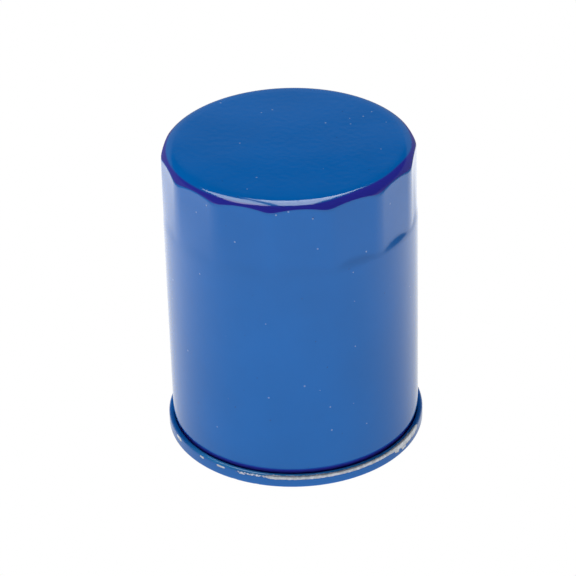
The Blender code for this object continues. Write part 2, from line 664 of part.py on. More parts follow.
def make_support_spring():
    """Pressed leaf spring: a ring on the upper cap with legs that bow up to the crown."""
    ring_height = UPPER_CAP_TOP + REST_GAP + SUPPORT_SHEET / 2
    tip_height = CROWN_INSIDE - REST_GAP - SUPPORT_SHEET
    leg_rows = 5
    built = bmesh.new()
    inner = []
    outer = []
    for index in range(INNER_SEGMENTS):
        angle = math.tau * index / INNER_SEGMENTS
        across = (math.cos(angle), math.sin(angle))
        inner.append(built.verts.new((*(SUPPORT_RING_INNER * c for c in across), ring_height)))
        outer.append(built.verts.new((*(SUPPORT_RING_OUTER * c for c in across), ring_height)))
    for index in range(INNER_SEGMENTS):
        after = (index + 1) % INNER_SEGMENTS
        built.faces.new((inner[index], outer[index], outer[after], inner[after]))
    leg_span = 3
    for leg in range(SUPPORT_LEGS):
        first = leg * INNER_SEGMENTS // SUPPORT_LEGS
        row = [outer[(first + step) % INNER_SEGMENTS] for step in range(leg_span + 1)]
        middle = math.tau * (first + leg_span / 2) / INNER_SEGMENTS
        half_width = SUPPORT_RING_OUTER * math.sin(math.pi * leg_span / INNER_SEGMENTS)
        for number in range(1, leg_rows + 1):
            share = number / leg_rows
            reach = SUPPORT_RING_OUTER + SUPPORT_LEG_REACH * share
            height = ring_height + (tip_height - ring_height) * math.sin(share * math.pi / 2)
            width = half_width * (1 - 0.35 * share)
            new_row = []
            for step in range(leg_span + 1):
                side = width * (2 * step / leg_span - 1)
                x = reach * math.cos(middle) - side * math.sin(middle)
                y = reach * math.sin(middle) + side * math.cos(middle)
                new_row.append(built.verts.new((x, y, height)))
            for step in range(leg_span):
                built.faces.new((row[step], new_row[step], new_row[step + 1], row[step + 1]))
            row = new_row
    mesh = bpy.data.meshes.new("element_support_spring")
    built.to_mesh(mesh)
    built.free()
    spring = add_piece("element_support_spring", mesh, SPRING_STEEL)
    solidify = spring.modifiers.new("sheet", "SOLIDIFY")
    solidify.thickness = SUPPORT_SHEET
    solidify.offset = 0.0
    solidify.use_even_offset = True


make_canister()
make_seaming_lid()
make_seam_sealant()
make_mounting_gasket()
make_base_plate()
make_spot_welds()
make_drainback_valve()
make_lower_end_cap()
make_upper_end_cap()
make_filter_media()
make_center_tube()
make_bypass_cage()
make_bypass_valve()
make_bypass_spring()
make_support_spring()
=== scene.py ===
"""Looks of a spin-on oil filter, laid out as an add-on and run as a script.

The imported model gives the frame: +Z is the filter's axis, up to the closed end, and z = 0 is
the gasket's sealing face. Lengths are in metres.
"""

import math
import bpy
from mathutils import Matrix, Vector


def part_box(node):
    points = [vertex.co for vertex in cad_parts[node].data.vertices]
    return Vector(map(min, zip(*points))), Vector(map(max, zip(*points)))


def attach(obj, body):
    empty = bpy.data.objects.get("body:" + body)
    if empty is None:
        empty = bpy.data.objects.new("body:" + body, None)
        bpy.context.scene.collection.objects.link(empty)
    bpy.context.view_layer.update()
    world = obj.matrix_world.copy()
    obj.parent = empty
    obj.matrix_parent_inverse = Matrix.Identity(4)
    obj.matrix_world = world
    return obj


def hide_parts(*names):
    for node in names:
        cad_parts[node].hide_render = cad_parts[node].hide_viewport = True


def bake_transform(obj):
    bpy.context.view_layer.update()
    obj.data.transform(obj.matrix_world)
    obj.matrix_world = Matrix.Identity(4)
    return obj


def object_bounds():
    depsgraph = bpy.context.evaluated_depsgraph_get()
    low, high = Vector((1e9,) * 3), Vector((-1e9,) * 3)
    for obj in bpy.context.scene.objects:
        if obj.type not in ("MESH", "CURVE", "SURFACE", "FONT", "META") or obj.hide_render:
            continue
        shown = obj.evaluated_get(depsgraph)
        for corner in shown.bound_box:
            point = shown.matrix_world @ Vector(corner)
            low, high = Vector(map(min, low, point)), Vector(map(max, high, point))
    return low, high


bl_info = {
    "name": "Spin-on oil filter",
    "version": (1, 0, 0),
    "blender": (4, 5, 0),
    "location": "View3D > Sidebar > Filter",
    "description": "Builds the detailed pieces and finishes of a spin-on oil filter",
    "category": "Object",
}

import bmesh
import bpy
import numpy as np
from bpy.props import FloatProperty, FloatVectorProperty, IntProperty, PointerProperty
from mathutils import Matrix, Vector

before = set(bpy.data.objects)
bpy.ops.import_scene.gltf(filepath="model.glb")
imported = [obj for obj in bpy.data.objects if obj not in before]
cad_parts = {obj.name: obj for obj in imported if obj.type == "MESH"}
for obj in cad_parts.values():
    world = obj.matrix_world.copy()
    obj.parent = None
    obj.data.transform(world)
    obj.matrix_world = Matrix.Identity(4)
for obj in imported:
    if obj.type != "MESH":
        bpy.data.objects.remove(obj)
CAD_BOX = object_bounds()

MM = 0.001
TAU = math.tau

# Sizes that the CAD model gives to pieces that meet each other
NECK = 32.6 * MM             # outside of the can's narrowed wall, in the seam
CAN_HOOK = 33.2 * MM         # outside of the can's turned-out edge, in the seam
CAN_HOOK_TIP = 4.6 * MM      # height of that edge's tip
LID_HOOK = 32.7 * MM         # inside of the lid's rolled edge, in the seam
LID_HOOK_TIP = 3.55 * MM     # height of that edge's tip
SEAM_FLOOR = 2.0 * MM        # height of the seam's lower edge
THREAD_CREST = 9.2 * MM      # smallest radius of the hub's thread
HUB = 12.5 * MM              # outside of the base plate's hub
INLET_CIRCLE = 17.6 * MM     # radius at which the oil inlets stand
WELD_CIRCLE = 23.3 * MM      # radius at which the spot welds stand
WELD_HOLE = 1.9 * MM         # radius of the holes that the spot welds fill
TIN_SHEET = 0.4 * MM         # thickness of the element's caps and tube
FOLDS_OUT = 26.9 * MM        # outer folds of the pleated paper
FOLDS_IN = 16.35 * MM        # its inner folds


def length(name, description, default):
    return FloatProperty(name=name, description=description, default=default, unit="LENGTH",
                         precision=5)


def angle(name, description, degrees):
    return FloatProperty(name=name, description=description, default=math.radians(degrees),
                         subtype="ANGLE")


def colour(name, description, default):
    return FloatVectorProperty(name=name, description=description, default=default,
                               subtype="COLOR", size=3, min=0.0, max=1.0)


class FilterSizes(bpy.types.PropertyGroup):
    """Sizes that shape the filter's visible pieces"""

    can_radius: length("Can radius", "Outside of the drawn wall", 33.0 * MM)
    can_sheet: length("Can sheet", "Thickness of the drawn steel", 0.5 * MM)
    lid_sheet: length("Lid sheet", "Thickness of the rolled lid", 0.4 * MM)
    shoulder_radius: length("Shoulder radius", "Bend between crown and wall", 3.6 * MM)
    flat_count: IntProperty(name="Wrench flats", description="Flats round the closed end",
                            default=14, min=3)
    flat_length: length("Flat length", "Crown down to the foot of a flat", 19.0 * MM)
    flat_softness: length("Flat softness", "Blend between a flat and the drawn can",
                          0.25 * MM)
    ridge_softness: length("Ridge softness", "Blend between two flats", 0.9 * MM)
    neck_rise: length("Neck rise", "Height over which the wall narrows", 1.8 * MM)
    seam_corner: length("Seam corner", "Lower corners of the rolled seam", 0.6 * MM)
    channel_floor: length("Channel floor", "Height of the gasket channel's floor", 5.3 * MM)
    thread_pitch: length("Thread pitch", "Rise of the hub's thread per turn", 1.5 * MM)
    thread_depth: length("Thread depth", "Crest to root of the hub's thread", 0.8 * MM)
    inlet_radius: length("Inlet radius", "Oil inlets in the base plate", 2.7 * MM)
    gasket_edge: length("Gasket edge", "Rounding of the gasket's edges", 0.7 * MM)
    pleat_count: IntProperty(name="Pleats", description="Pleats of the paper", default=42,
                             min=12)
    paper: length("Paper", "Thickness of the pleated paper", 0.7 * MM)


class FilterColours(bpy.types.PropertyGroup):
    """Colours of the filter's finishes"""

    enamel: colour("Enamel", "Blue enamel of can and seam", (0.0, 0.127, 0.46))
    # Painted shade: darker violet enamel standing in for shade and dark reflections on the
    # shoulder band and in the neck
    enamel_shade: colour("Enamel shade", "Darker enamel painted as shade and dark reflection", (0.024, 0.026, 0.31))
    bare_steel: colour("Bare steel", "Steel where the enamel is worn off", (0.78, 0.82, 0.88))
    tin: colour("Tinplate", "Tinned steel inside the filter", (0.66, 0.67, 0.68))
    zinc: colour("Zinc", "Zinc plating of the base plate", (0.62, 0.60, 0.52))
    weld: colour("Weld", "Fused steel of the spot welds", (0.40, 0.39, 0.38))
    spring: colour("Spring steel", "Oiled spring steel", (0.36, 0.36, 0.38))
    rubber: colour("Rubber", "Black nitrile rubber", (0.018, 0.018, 0.019))
    silicone: colour("Silicone", "Orange-red silicone rubber", (0.60, 0.085, 0.03))
    plastisol: colour("Plastisol", "Cream bonding compound", (0.72, 0.63, 0.42))
    paper: colour("Paper", "Resin-treated filter paper", (0.70, 0.50, 0.25))
    compound: colour("Seam compound", "Dried compound in the seam", (0.15, 0.16, 0.15))


class StageSettings(bpy.types.PropertyGroup):
    """Camera, floor and lights"""

    lens: FloatProperty(name="Lens", description="Focal length in millimetres",
                        default=168.75)
    distance: length("Camera distance", "From the camera to the point it aims at", 0.7100)
    azimuth: angle("Azimuth", "Camera's turn round the filter", -3.769)
    elevation: angle("Elevation", "Camera's angle over the floor", 31.57)
    roll: angle("Roll", "Camera's turn about its own line of sight", -1.628)
    softbox_power: FloatProperty(name="Softbox power", description="Overhead light",
                                 default=5.5, unit="POWER")
    side_softbox_power: FloatProperty(name="Side softbox power",
                                      description="Overhead light to one side", default=5.3,
                                      unit="POWER")
    floor_glow: FloatProperty(name="Floor glow", description="Light given by the white floor",
                              default=1.0)


def sizes():
    return bpy.context.scene.filter_sizes


def colours():
    return bpy.context.scene.filter_colours


# ---------------------------------------------------------------- sections and meshes


def rounded(corners, closed=False, steps=5):
    """A line through corners (r, z, radius) with every corner turned into an arc."""
    line = []
    count = len(corners)
    for index, (x, y, radius) in enumerate(corners):
        here = Vector((x, y))
        if radius <= 0 or (not closed and index in (0, count - 1)):
            line.append((x, y))
            continue
        before = Vector(corners[index - 1][:2]) - here
        after = Vector(corners[(index + 1) % count][:2]) - here
        corner = before.angle(after)
        if corner > math.pi - 1e-3:
            line.append((x, y))
            continue
        reach = min(radius / math.tan(corner / 2), 0.499 * before.length,
                    0.499 * after.length)
        radius = reach * math.tan(corner / 2)
        before.normalize()
        after.normalize()
        centre = here + (before + after).normalized() * radius / math.sin(corner / 2)
        start = here + before * reach - centre
        end = here + after * reach - centre
        sweep = math.pi - corner
        for step in range(steps + 1):
            share = step / steps
            point = centre + (math.sin((1 - share) * sweep) * start
                              + math.sin(share * sweep) * end) / math.sin(sweep)
            line.append((point.x, point.y))
    return line


def spread(line, gap, closed=False):
    """The same line with no two neighbouring points further apart than gap."""
    points = [line[0]]
    for end in line[1:] + (line[:1] if closed else []):
        start = points[-1]
        parts = max(1, math.ceil(math.dist(start, end) / gap))
        points += [(start[0] + (end[0] - start[0]) * part / parts,
                    start[1] + (end[1] - start[1]) * part / parts)
                   for part in range(1, parts + 1)]
    return points[:-1] if closed else points


def beside(line, distance, closed=False):
    """A line parallel to the given one, on its right-hand side."""
    points = np.array(line, float)
    if closed:
        before, after = np.roll(points, 1, 0), np.roll(points, -1, 0)
    else:
        before = np.vstack([2 * points[:1] - points[1:2], points[:-1]])
        after = np.vstack([points[1:], 2 * points[-1:] - points[-2:-1]])
    first, second = points - before, after - points
    first /= np.linalg.norm(first, axis=1)[:, None]
    second /= np.linalg.norm(second, axis=1)[:, None]
    first = np.stack([first[:, 1], -first[:, 0]], 1)
    second = np.stack([second[:, 1], -second[:, 0]], 1)
    scale = distance / (1 + (first * second).sum(1))
    return [tuple(point) for point in points + (first + second) * scale[:, None]]


def sheet(line, thickness):
    """Closed section of a bent sheet: one face, and the other on its right-hand side."""
    return line + beside(line, thickness)[::-1]


def linked(name, mesh, *finishes):
    """A named piece from a mesh, with its finishes in order."""
    for finish in finishes:
        mesh.materials.append(finish)
    piece = bpy.data.objects.new(name, mesh)
    bpy.context.scene.collection.objects.link(piece)
    return piece


def placed(piece, body, node):
    """Lets a piece ride on a body and stand for a CAD node, whose mesh is hidden."""
    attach(piece, body)
    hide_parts(node)


def mesh_of(built, name):
    """Puts what was built into a new mesh."""
    mesh = bpy.data.meshes.new(name)
    built.to_mesh(mesh)
    built.free()
    return mesh


def tidied(mesh, sharp=35.0):
    """Joins doubled corners, turns the faces outwards and shades them smoothly."""
    built = bmesh.new()
    built.from_mesh(mesh)
    bmesh.ops.remove_doubles(built, verts=built.verts, dist=1e-7)
    loose = [vertex for vertex in built.verts if not vertex.link_faces]
    bmesh.ops.delete(built, geom=loose, context="VERTS")
    bmesh.ops.recalc_face_normals(built, faces=built.faces)
    built.to_mesh(mesh)
    built.free()
    mesh.polygons.foreach_set("use_smooth", [True] * len(mesh.polygons))
    mesh.set_sharp_from_angle(angle=math.radians(sharp))
    return mesh


def turned(name, section, *finishes, columns=168, reshape=None, inside_from=None):
    """A piece made by carrying a closed section (r, z) once round the axis.

    reshape gives the radius at an angle, for flats and threads. The faces from the section's
    point number inside_from on take the piece's second finish.
    """
    points = np.array(section, float)
    count = len(points)
    angles = (np.arange(columns) * TAU / columns)[:, None]
    radii = np.repeat(points[None, :, 0], columns, 0)
    heights = np.repeat(points[None, :, 1], columns, 0)
    if reshape:
        radii = reshape(angles, radii, heights)
    corners = np.stack([radii * np.cos(angles), radii * np.sin(angles), heights], 2)
    column = np.arange(columns)[:, None] * count
    following = np.roll(column, -1, 0)
    row = np.arange(count)[None, :]
    after = (row + 1) % count
    faces = np.stack([column + row, following + row, following + after, column + after], 2)
    mesh = bpy.data.meshes.new(name)
    mesh.from_pydata(corners.reshape(-1, 3).tolist(), [], faces.reshape(-1, 4).tolist())
    if inside_from is not None:
        second = np.repeat((row >= inside_from).astype(np.int32), columns, 0)
        mesh.polygons.foreach_set("material_index", second.ravel())
    return linked(name, tidied(mesh), *finishes)


def stacked(name, sections, sharp, closed=False):
    """Mesh of a thin strip seen from above, carried up through its sections.

    Each section runs out along one face of the strip and back along the other. A closed
    strip joins its own start.
    """
    count = len(sections[0])
    half = count // 2
    runs = [(index, (index + 1) % half) for index in range(half if closed else half - 1)]
    around = runs + [(count - 1 - after, count - 1 - index) for index, after in runs]
    if not closed:
        around += [(half - 1, half), (count - 1, 0)]
    last = (len(sections) - 1) * count
    faces = [(low + index, low + after, low + count + after, low + count + index)
             for low in range(0, last, count) for index, after in around]
    faces += [(end + index, end + after, end + count - 1 - after, end + count - 1 - index)
              for end in (0, last) for index, after in runs]
    mesh = bpy.data.meshes.new(name)
    mesh.from_pydata(np.vstack(sections).tolist(), [], faces)
    return tidied(mesh, sharp)


def skin(built, rings):
    """Faces between neighbouring rings of points, and a cap on either end."""
    rings = [[built.verts.new(corner) for corner in ring] for ring in rings]
    for low, high in zip(rings, rings[1:]):
        for step in range(len(low)):
            after = (step + 1) % len(low)
            built.faces.new((low[step], low[after], high[after], high[step]))
    built.faces.new(rings[0][::-1])
    built.faces.new(rings[-1])


def baked(piece):
    """Turns a piece's modifiers into its mesh."""
    graph = bpy.context.evaluated_depsgraph_get()
    mesh = bpy.data.meshes.new_from_object(piece.evaluated_get(graph))
    piece.modifiers.clear()
    piece.data = mesh


def cut_away(piece, cutter_mesh, sharp=35.0):
    """Takes the cutter's bodies away from a piece, and keeps the shading clean."""
    cutter = linked(cutter_mesh.name, cutter_mesh)
    boolean = piece.modifiers.new("cut", "BOOLEAN")
    boolean.operation = "DIFFERENCE"
    boolean.object = cutter
    boolean.material_mode = "INDEX"
    baked(piece)
    bpy.data.objects.remove(cutter)
    tidied(piece.data, sharp)


def round_places(count, radius, height, start=0.0):
    """Matrices evenly spaced round the axis."""
    return [Matrix.Rotation(start + TAU * index / count, 4, "Z")
            @ Matrix.Translation((radius, 0.0, height)) for index in range(count)]


def lathed_cutter(name, section, places, segments=32):
    """Bodies of revolution about their own axes, standing at the given matrices."""
    built = bmesh.new()
    for place in places:
        skin(built, [[place @ Vector((radius * math.cos(TAU * step / segments),
                                      radius * math.sin(TAU * step / segments), height))
                      for step in range(segments)] for radius, height in section])
    bmesh.ops.recalc_face_normals(built, faces=built.faces)
    return mesh_of(built, name)


def wire(name, path, radius, sides=12):
    """A round wire swept along a path, with narrowed ends."""
    points = np.array(path, float)
    along = np.gradient(points, axis=0)
    along /= np.linalg.norm(along, axis=1)[:, None]
    side = np.cross(along, (0.0, 0.0, 1.0))
    side /= np.linalg.norm(side, axis=1)[:, None]
    above = np.cross(side, along)
    around = np.arange(sides) * TAU / sides
    circle = (np.cos(around)[None, :, None] * side[:, None, :]
              + np.sin(around)[None, :, None] * above[:, None, :])
    girth = np.full(len(points), radius)
    girth[[0, -1]] *= 0.7
    built = bmesh.new()
    skin(built, points[:, None, :] + circle * girth[:, None, None])
    return tidied(mesh_of(built, name))


# ---------------------------------------------------------------- node helpers and groups


def shaded(tone, share, lift=0.0):
    """A colour made darker or lighter by a share, and lifted by a little grey."""
    return [min(1.0, part * share + lift) for part in tone]


def tinted(tone, *shares):
    """A colour with its red, green and blue changed by a share each."""
    return [part * share for part, share in zip(tone, shares)]


class Nodes:
    """The nodes of one finish, group, floor or world, with short names for common steps."""

    def __init__(self, tree):
        self.tree = tree

    def put(self, socket, value):
        """Links a socket or sets it; a colour may come without its alpha."""
        if isinstance(value, bpy.types.NodeSocket):
            self.tree.links.new(value, socket)
        elif socket.type == "RGBA":
            socket.default_value = (*value[:3], 1.0)
        else:
            socket.default_value = value

    def add(self, kind, inputs=None, **settings):
        """A new shader node; inputs are keyed by socket name or number."""
        made = self.tree.nodes.new("ShaderNode" + kind)
        for name, value in settings.items():
            setattr(made, name, value)
        for key, value in (inputs or {}).items():
            self.put(made.inputs[key], value)
        return made

    def maths(self, operation, *values):
        return self.add("Math", dict(enumerate(values)), operation=operation).outputs[0]

    def times(self, result, *values):
        for value in values:
            result = self.maths("MULTIPLY", result, value)
        return result

    def plus(self, result, *values):
        for value in values:
            result = self.maths("ADD", result, value)
        return result

    def minus(self, first, second):
        return self.maths("SUBTRACT", first, second)

    def larger(self, result, *values):
        for value in values:
            result = self.maths("MAXIMUM", result, value)
        return result

    def ramp(self, value, low, high):
        """0 at low and below, 1 at high and above, smooth between; low may be above high."""
        return self.add("MapRange", {"Value": value, "From Min": low, "From Max": high},
                        interpolation_type="SMOOTHSTEP").outputs["Result"]

    def window(self, value, low, high, soft):
        """1 between low and high, falling to 0 over soft on either side."""
        return self.times(self.ramp(value, low - soft, low + soft),
                          self.ramp(value, high + soft, high - soft))

    def spanned(self, value, first, last, low=0.0, high=1.0):
        """first at low and below, last at high and above, even between."""
        return self.add("MapRange", {"Value": value, "From Min": low, "From Max": high,
                                     "To Min": first, "To Max": last}).outputs["Result"]

    def blend_values(self, factor, first, second):
        return self.add("Mix", {0: factor, 2: first, 3: second},
                        data_type="FLOAT").outputs[0]

    def blend(self, factor, first, second):
        """A colour from first, where factor is 0, to second, where it is 1."""
        return self.add("Mix", {0: factor, 6: first, 7: second}, data_type="RGBA").outputs[2]

    def place(self):
        """The surface point in the filter's own frame."""
        return self.add("TexCoord").outputs["Object"]

    def polar(self):
        """Radius, turn from -Y in degrees (positive towards +X) and height of the point."""
        x, y, height = self.add("SeparateXYZ", {0: self.place()}).outputs
        radius = self.maths("SQRT", self.plus(self.times(x, x), self.times(y, y)))
        turn = self.maths("ARCTAN2", x, self.times(y, -1.0))
        return radius, self.maths("DEGREES", turn), height

    def upward(self):
        """How far the surface faces up, from -1 to 1."""
        return self.add("SeparateXYZ", {0: self.add("TexCoord").outputs["Normal"]}).outputs[2]

    def effect(self, name, output, **inputs):
        """Places a shared effect and returns the output asked for."""
        node = self.tree.nodes.new("ShaderNodeGroup")
        node.node_tree = bpy.data.node_groups.get(name) or EFFECTS[name](name)
        for key, value in inputs.items():
            self.put(node.inputs[key], value)
        return node.outputs[output]

    def clouds(self, scale, detail):
        return self.effect("unevenness", "Value", Scale=scale, Detail=detail)

    def rings(self, scale):
        return self.effect("turning_marks", "Value", Scale=scale)

    def specks(self, scale, size, share):
        return self.effect("specks", "Mask", Scale=scale, Size=size, Share=share)

    def bumped(self, height, strength, distance):
        return self.add("Bump", {"Height": height, "Strength": strength,
                                 "Distance": distance}).outputs["Normal"]

    def feed(self, **sockets):
        """Links or sets the sockets of the finish's Principled shader."""
        shader = self.tree.nodes["Principled BSDF"]
        for name, value in sockets.items():
            self.put(shader.inputs[name.replace("_", " ")], value)


def new_group(name, output, **inputs):
    """A node group with one output and named inputs, each with its default."""
    group = bpy.data.node_groups.new(name, "ShaderNodeTree")
    for socket_name, default in inputs.items():
        socket = group.interface.new_socket(socket_name, in_out="INPUT",
                                            socket_type="NodeSocketFloat")
        socket.default_value = default
    group.interface.new_socket(output, in_out="OUTPUT", socket_type="NodeSocketFloat")
    given = group.nodes.new("NodeGroupInput").outputs
    return group, Nodes(group), given, group.nodes.new("NodeGroupOutput").inputs[output]


def unevenness_group(name):
    """Soft clouds of value, for gloss and colour that vary a little."""
    group, nodes, given, result = new_group(name, "Value", Scale=60.0, Detail=3.0)
    nodes.put(result, nodes.add("TexNoise", {
        "Vector": nodes.place(), "Scale": given["Scale"], "Detail": given["Detail"],
        "Roughness": 0.55}).outputs["Fac"])
    return group


def turning_group(name):
    """Fine rings round the axis, as rolling and turning leave them."""
    group, nodes, given, result = new_group(name, "Value", Scale=4000.0)
    radius, turn, height = nodes.polar()
    drawn_out = nodes.times(turn, 0.00002)
    rings = nodes.add("CombineXYZ", {0: radius, 1: drawn_out, 2: height}).outputs[0]
    nodes.put(result, nodes.add("TexNoise", {
        "Vector": rings, "Scale": given["Scale"], "Detail": 3.0,
        "Roughness": 0.6}).outputs["Fac"])
    return group


def specks_group(name):
    """Small scattered spots: dust under a coat, or bloom on rubber."""
    group, nodes, given, result = new_group(name, "Mask", Scale=400.0, Size=0.12, Share=0.1)
    cells = nodes.add("TexVoronoi", {"Vector": nodes.place(), "Scale": given["Scale"]},
                      feature="F1").outputs
    spot = nodes.maths("LESS_THAN", cells["Distance"], given["Size"])
    cell = nodes.add("SeparateColor", {0: cells["Color"]}).outputs[0]
    nodes.put(result, nodes.times(spot, nodes.maths("LESS_THAN", cell, given["Share"])))
    return group


def chipping_group(name):
    """A ragged bare patch where Wear is high: 1 is bare, 0 is coated."""
    group, nodes, given, result = new_group(name, "Bare", Wear=0.0, Scale=900.0,
                                            Raggedness=0.5)
    coarse = nodes.add("TexNoise", {"Vector": nodes.place(), "Scale": given["Scale"],
                                    "Detail": 4.0, "Roughness": 0.62}).outputs["Fac"]
    ragged = nodes.times(nodes.minus(coarse, 0.5), given["Raggedness"])
    nodes.put(result, nodes.ramp(nodes.plus(given["Wear"], ragged), 0.47, 0.55))
    return group


EFFECTS = {
    "unevenness": unevenness_group,
    "turning_marks": turning_group,
    "specks": specks_group,
    "chipping": chipping_group,
}


# ---------------------------------------------------------------- finishes


def new_finish(name):
    """A material with its Principled shader, and the nodes that dress it."""
    finish = bpy.data.materials.new(name)
    finish.use_nodes = True
    return finish, Nodes(finish.node_tree)


def kept(name, maker, *values, **options):
    """The finish of that name, made the first time that it is asked for."""
    return bpy.data.materials.get(name) or maker(name, *values, **options)


def enamel_colour(nodes):
    """Blue enamel with faint clouds."""
    enamel = colours().enamel
    return nodes.blend(nodes.ramp(nodes.clouds(45.0, 4.0), 0.3, 0.7), shaded(enamel, 0.93),
                       enamel)


def canister_enamel():
    """Glossy enamel on the drawn can, with dust nibs, a soft flow texture and painted shade
    round the shoulder and neck.
    """
    finish, nodes = new_finish("canister_enamel")
    size = sizes()
    turn, height = nodes.polar()[1:]
    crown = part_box("canister")[1].z

    # Painted shade and dark reflection: darker enamel round the shoulder, up to a lean that
    # rises on the side towards +X
    lean = nodes.maths("DEGREES", nodes.maths("ARCSINE", nodes.upward()))
    steep = nodes.blend_values(nodes.window(turn, 18.0, 70.0, 14.0), 57.0, 76.0)
    arc = nodes.times(nodes.ramp(lean, 15.0, 25.0),
                      nodes.ramp(nodes.minus(lean, steep), 5.0, -5.0))
    shoulder = nodes.times(arc, nodes.ramp(height, crown - 1.6 * size.shoulder_radius,
                                           crown - 1.3 * size.shoulder_radius))
    # Painted shade in the narrow neck just above the seam
    neck = nodes.window(height, 4.0 * MM, 6.9 * MM, 0.5 * MM)
    tone = nodes.blend(nodes.larger(shoulder, neck), enamel_colour(nodes),
                       colours().enamel_shade)

    pale = nodes.specks(310.0, 0.072, 0.34)
    dark = nodes.specks(330.0, 0.065, 0.22)
    tone = nodes.blend(nodes.times(pale, 0.45), tone, (0.40, 0.50, 0.66))
    tone = nodes.blend(nodes.times(dark, 0.6), tone, (0.01, 0.03, 0.12))
    flow = nodes.times(nodes.clouds(620.0, 1.0), 0.25)
    swell = nodes.clouds(70.0, 0.0)
    relief = nodes.plus(flow, swell, nodes.times(pale, 0.4))
    nodes.feed(Base_Color=tone, Roughness=nodes.spanned(nodes.clouds(160.0, 2.0), 0.06, 0.11),
               Normal=nodes.bumped(relief, 0.12, 0.35 * MM), IOR=1.5)
    return finish


def bare_tin(name, tone, rough):
    """Tinned or oiled steel with rolling rings, clouded here and there."""
    finish, nodes = new_finish(name)
    rings = nodes.rings(5200.0)
    clouds = nodes.clouds(110.0, 5.0)
    shade = nodes.blend(nodes.ramp(clouds, 0.35, 0.7), shaded(tone, 0.80), tone)
    shade = nodes.blend(nodes.times(nodes.specks(700.0, 0.2, 0.12), 0.35), shade,
                        shaded(tone, 0.45))
    level = nodes.plus(nodes.times(rings, 0.5), nodes.times(clouds, 0.5))
    nodes.feed(Base_Color=shade, Metallic=1.0,
               Roughness=nodes.spanned(level, *rough, 0.3, 0.7),
               Normal=nodes.bumped(rings, 0.10, 0.05 * MM))
    return finish


# Chips in the seam's enamel: turn and half width in degrees, then the band of its height
SEAM_CHIPS = (
    (-70.0, 2.6, 0.60, 0.86),
    (-51.0, 1.3, 0.70, 0.86),
    (-40.0, 2.3, 0.68, 0.84),
    (-33.0, 1.3, 0.00, 0.12),
    (-22.0, 1.0, 0.00, 0.10),
    (-29.0, 1.5, 0.68, 0.80),
    (52.0, 1.6, 0.30, 0.50),
    (104.0, 1.5, 0.70, 0.90),
    (-121.0, 2.2, 0.62, 0.86),
    (-158.0, 1.0, 0.05, 0.20),
)

# Worn lengths of the seam's upper edge: from and to in degrees, softness, strength
WORN_LENGTHS = (
    (-16.0, 66.0, 3.0, 0.95),
    (-33.0, -14.0, 3.0, 0.52),
    (118.0, 168.0, 8.0, 0.55),
)


def seam_enamel():
    """Enamel over the rolled seam, worn to steel along its upper edge, with a painted highlight
    on the roll's top; tinned inside.
    """
    finish, nodes = new_finish("seam_enamel")
    palette = colours()
    radius, turn, height = nodes.polar()
    low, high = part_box("seaming_lid")
    tall = nodes.maths("DIVIDE", nodes.minus(height, low.z), high.z - low.z)
    outside = nodes.ramp(radius, high.x - 0.9 * MM, high.x - 0.35 * MM)

    # Wear: the upper edge, one heavy patch, stray specks and the chips
    edge = nodes.times(nodes.window(tall, 0.68, 0.96, 0.12), outside)
    along = nodes.plus(*(nodes.times(nodes.window(turn, start, end, soft), strength)
                         for start, end, soft, strength in WORN_LENGTHS))
    heavy = nodes.times(nodes.window(turn, 46.0, 66.0, 6.0), outside,
                        nodes.window(tall, 0.40, 0.98, 0.2), 0.62)
    stray = nodes.times(nodes.specks(330.0, 0.34, 0.10), outside, 0.32)
    chips = nodes.larger(*(
        nodes.times(nodes.window(turn, centre - half, centre + half, 0.6 * half),
                    nodes.window(tall, foot, top, 0.07))
        for centre, half, foot, top in SEAM_CHIPS))
    wear = nodes.larger(nodes.plus(nodes.times(edge, along), heavy, stray),
                        nodes.times(chips, 0.92))
    bare = nodes.effect("chipping", "Bare", Wear=wear, Scale=1500.0, Raggedness=0.75)

    # The gasket channel and flange stay tinned, with overspray at the painted edge
    inside = nodes.minus(1.0, nodes.ramp(radius, high.x - 2.35 * MM, high.x - 1.9 * MM))
    inside = nodes.times(inside, nodes.ramp(nodes.clouds(420.0, 5.0), 0.18, 0.32))
    metal = nodes.larger(bare, inside)
    steel = nodes.blend(nodes.ramp(nodes.clouds(900.0, 4.0), 0.35, 0.65),
                        shaded(palette.bare_steel, 0.72), palette.bare_steel)
    steel = nodes.blend(inside, steel, palette.tin)

    # Painted highlight: lighter enamel on the upward-facing top of the roll in front, and a
    # dark lip round what is bare
    lit_roll_top = nodes.times(nodes.ramp(nodes.upward(), 0.30, 0.75),
                       nodes.window(turn, -56.0, 60.0, 12.0))
    enamel = nodes.blend(lit_roll_top, enamel_colour(nodes), (0.02, 0.26, 0.62))
    lip = nodes.larger(nodes.minus(nodes.ramp(wear, 0.22, 0.5), bare), 0.0)
    enamel = nodes.blend(nodes.times(lip, 0.25), enamel, (0.01, 0.05, 0.22))
    relief = nodes.minus(nodes.times(nodes.rings(5200.0), 0.15), nodes.times(bare, 0.6))
    nodes.feed(Base_Color=nodes.blend(metal, enamel, steel),
               Metallic=nodes.times(metal, 0.8),
               Roughness=nodes.blend_values(metal, 0.18, 0.42),
               Normal=nodes.bumped(relief, 0.35, 0.06 * MM), IOR=1.5)
    return finish


def zinc_plating():
    """Zinc-plated thick steel with a faint iridescent passivation."""
    finish, nodes = new_finish("zinc_plating")
    tone = colours().zinc
    fine = nodes.clouds(1400.0, 3.0)
    shade = nodes.blend(nodes.ramp(nodes.clouds(90.0, 5.0), 0.32, 0.68),
                        tinted(tone, 0.86, 0.92, 1.10), tinted(tone, 1.04, 0.94, 0.72))
    shade = nodes.blend(nodes.times(nodes.ramp(fine, 0.5, 0.75), 0.4), shade,
                        shaded(tone, 0.6))
    relief = nodes.plus(nodes.rings(2600.0), nodes.times(fine, 0.6))
    nodes.feed(Base_Color=shade, Metallic=1.0, Roughness=nodes.spanned(fine, 0.24, 0.48),
               Normal=nodes.bumped(relief, 0.18, 0.06 * MM))
    return finish


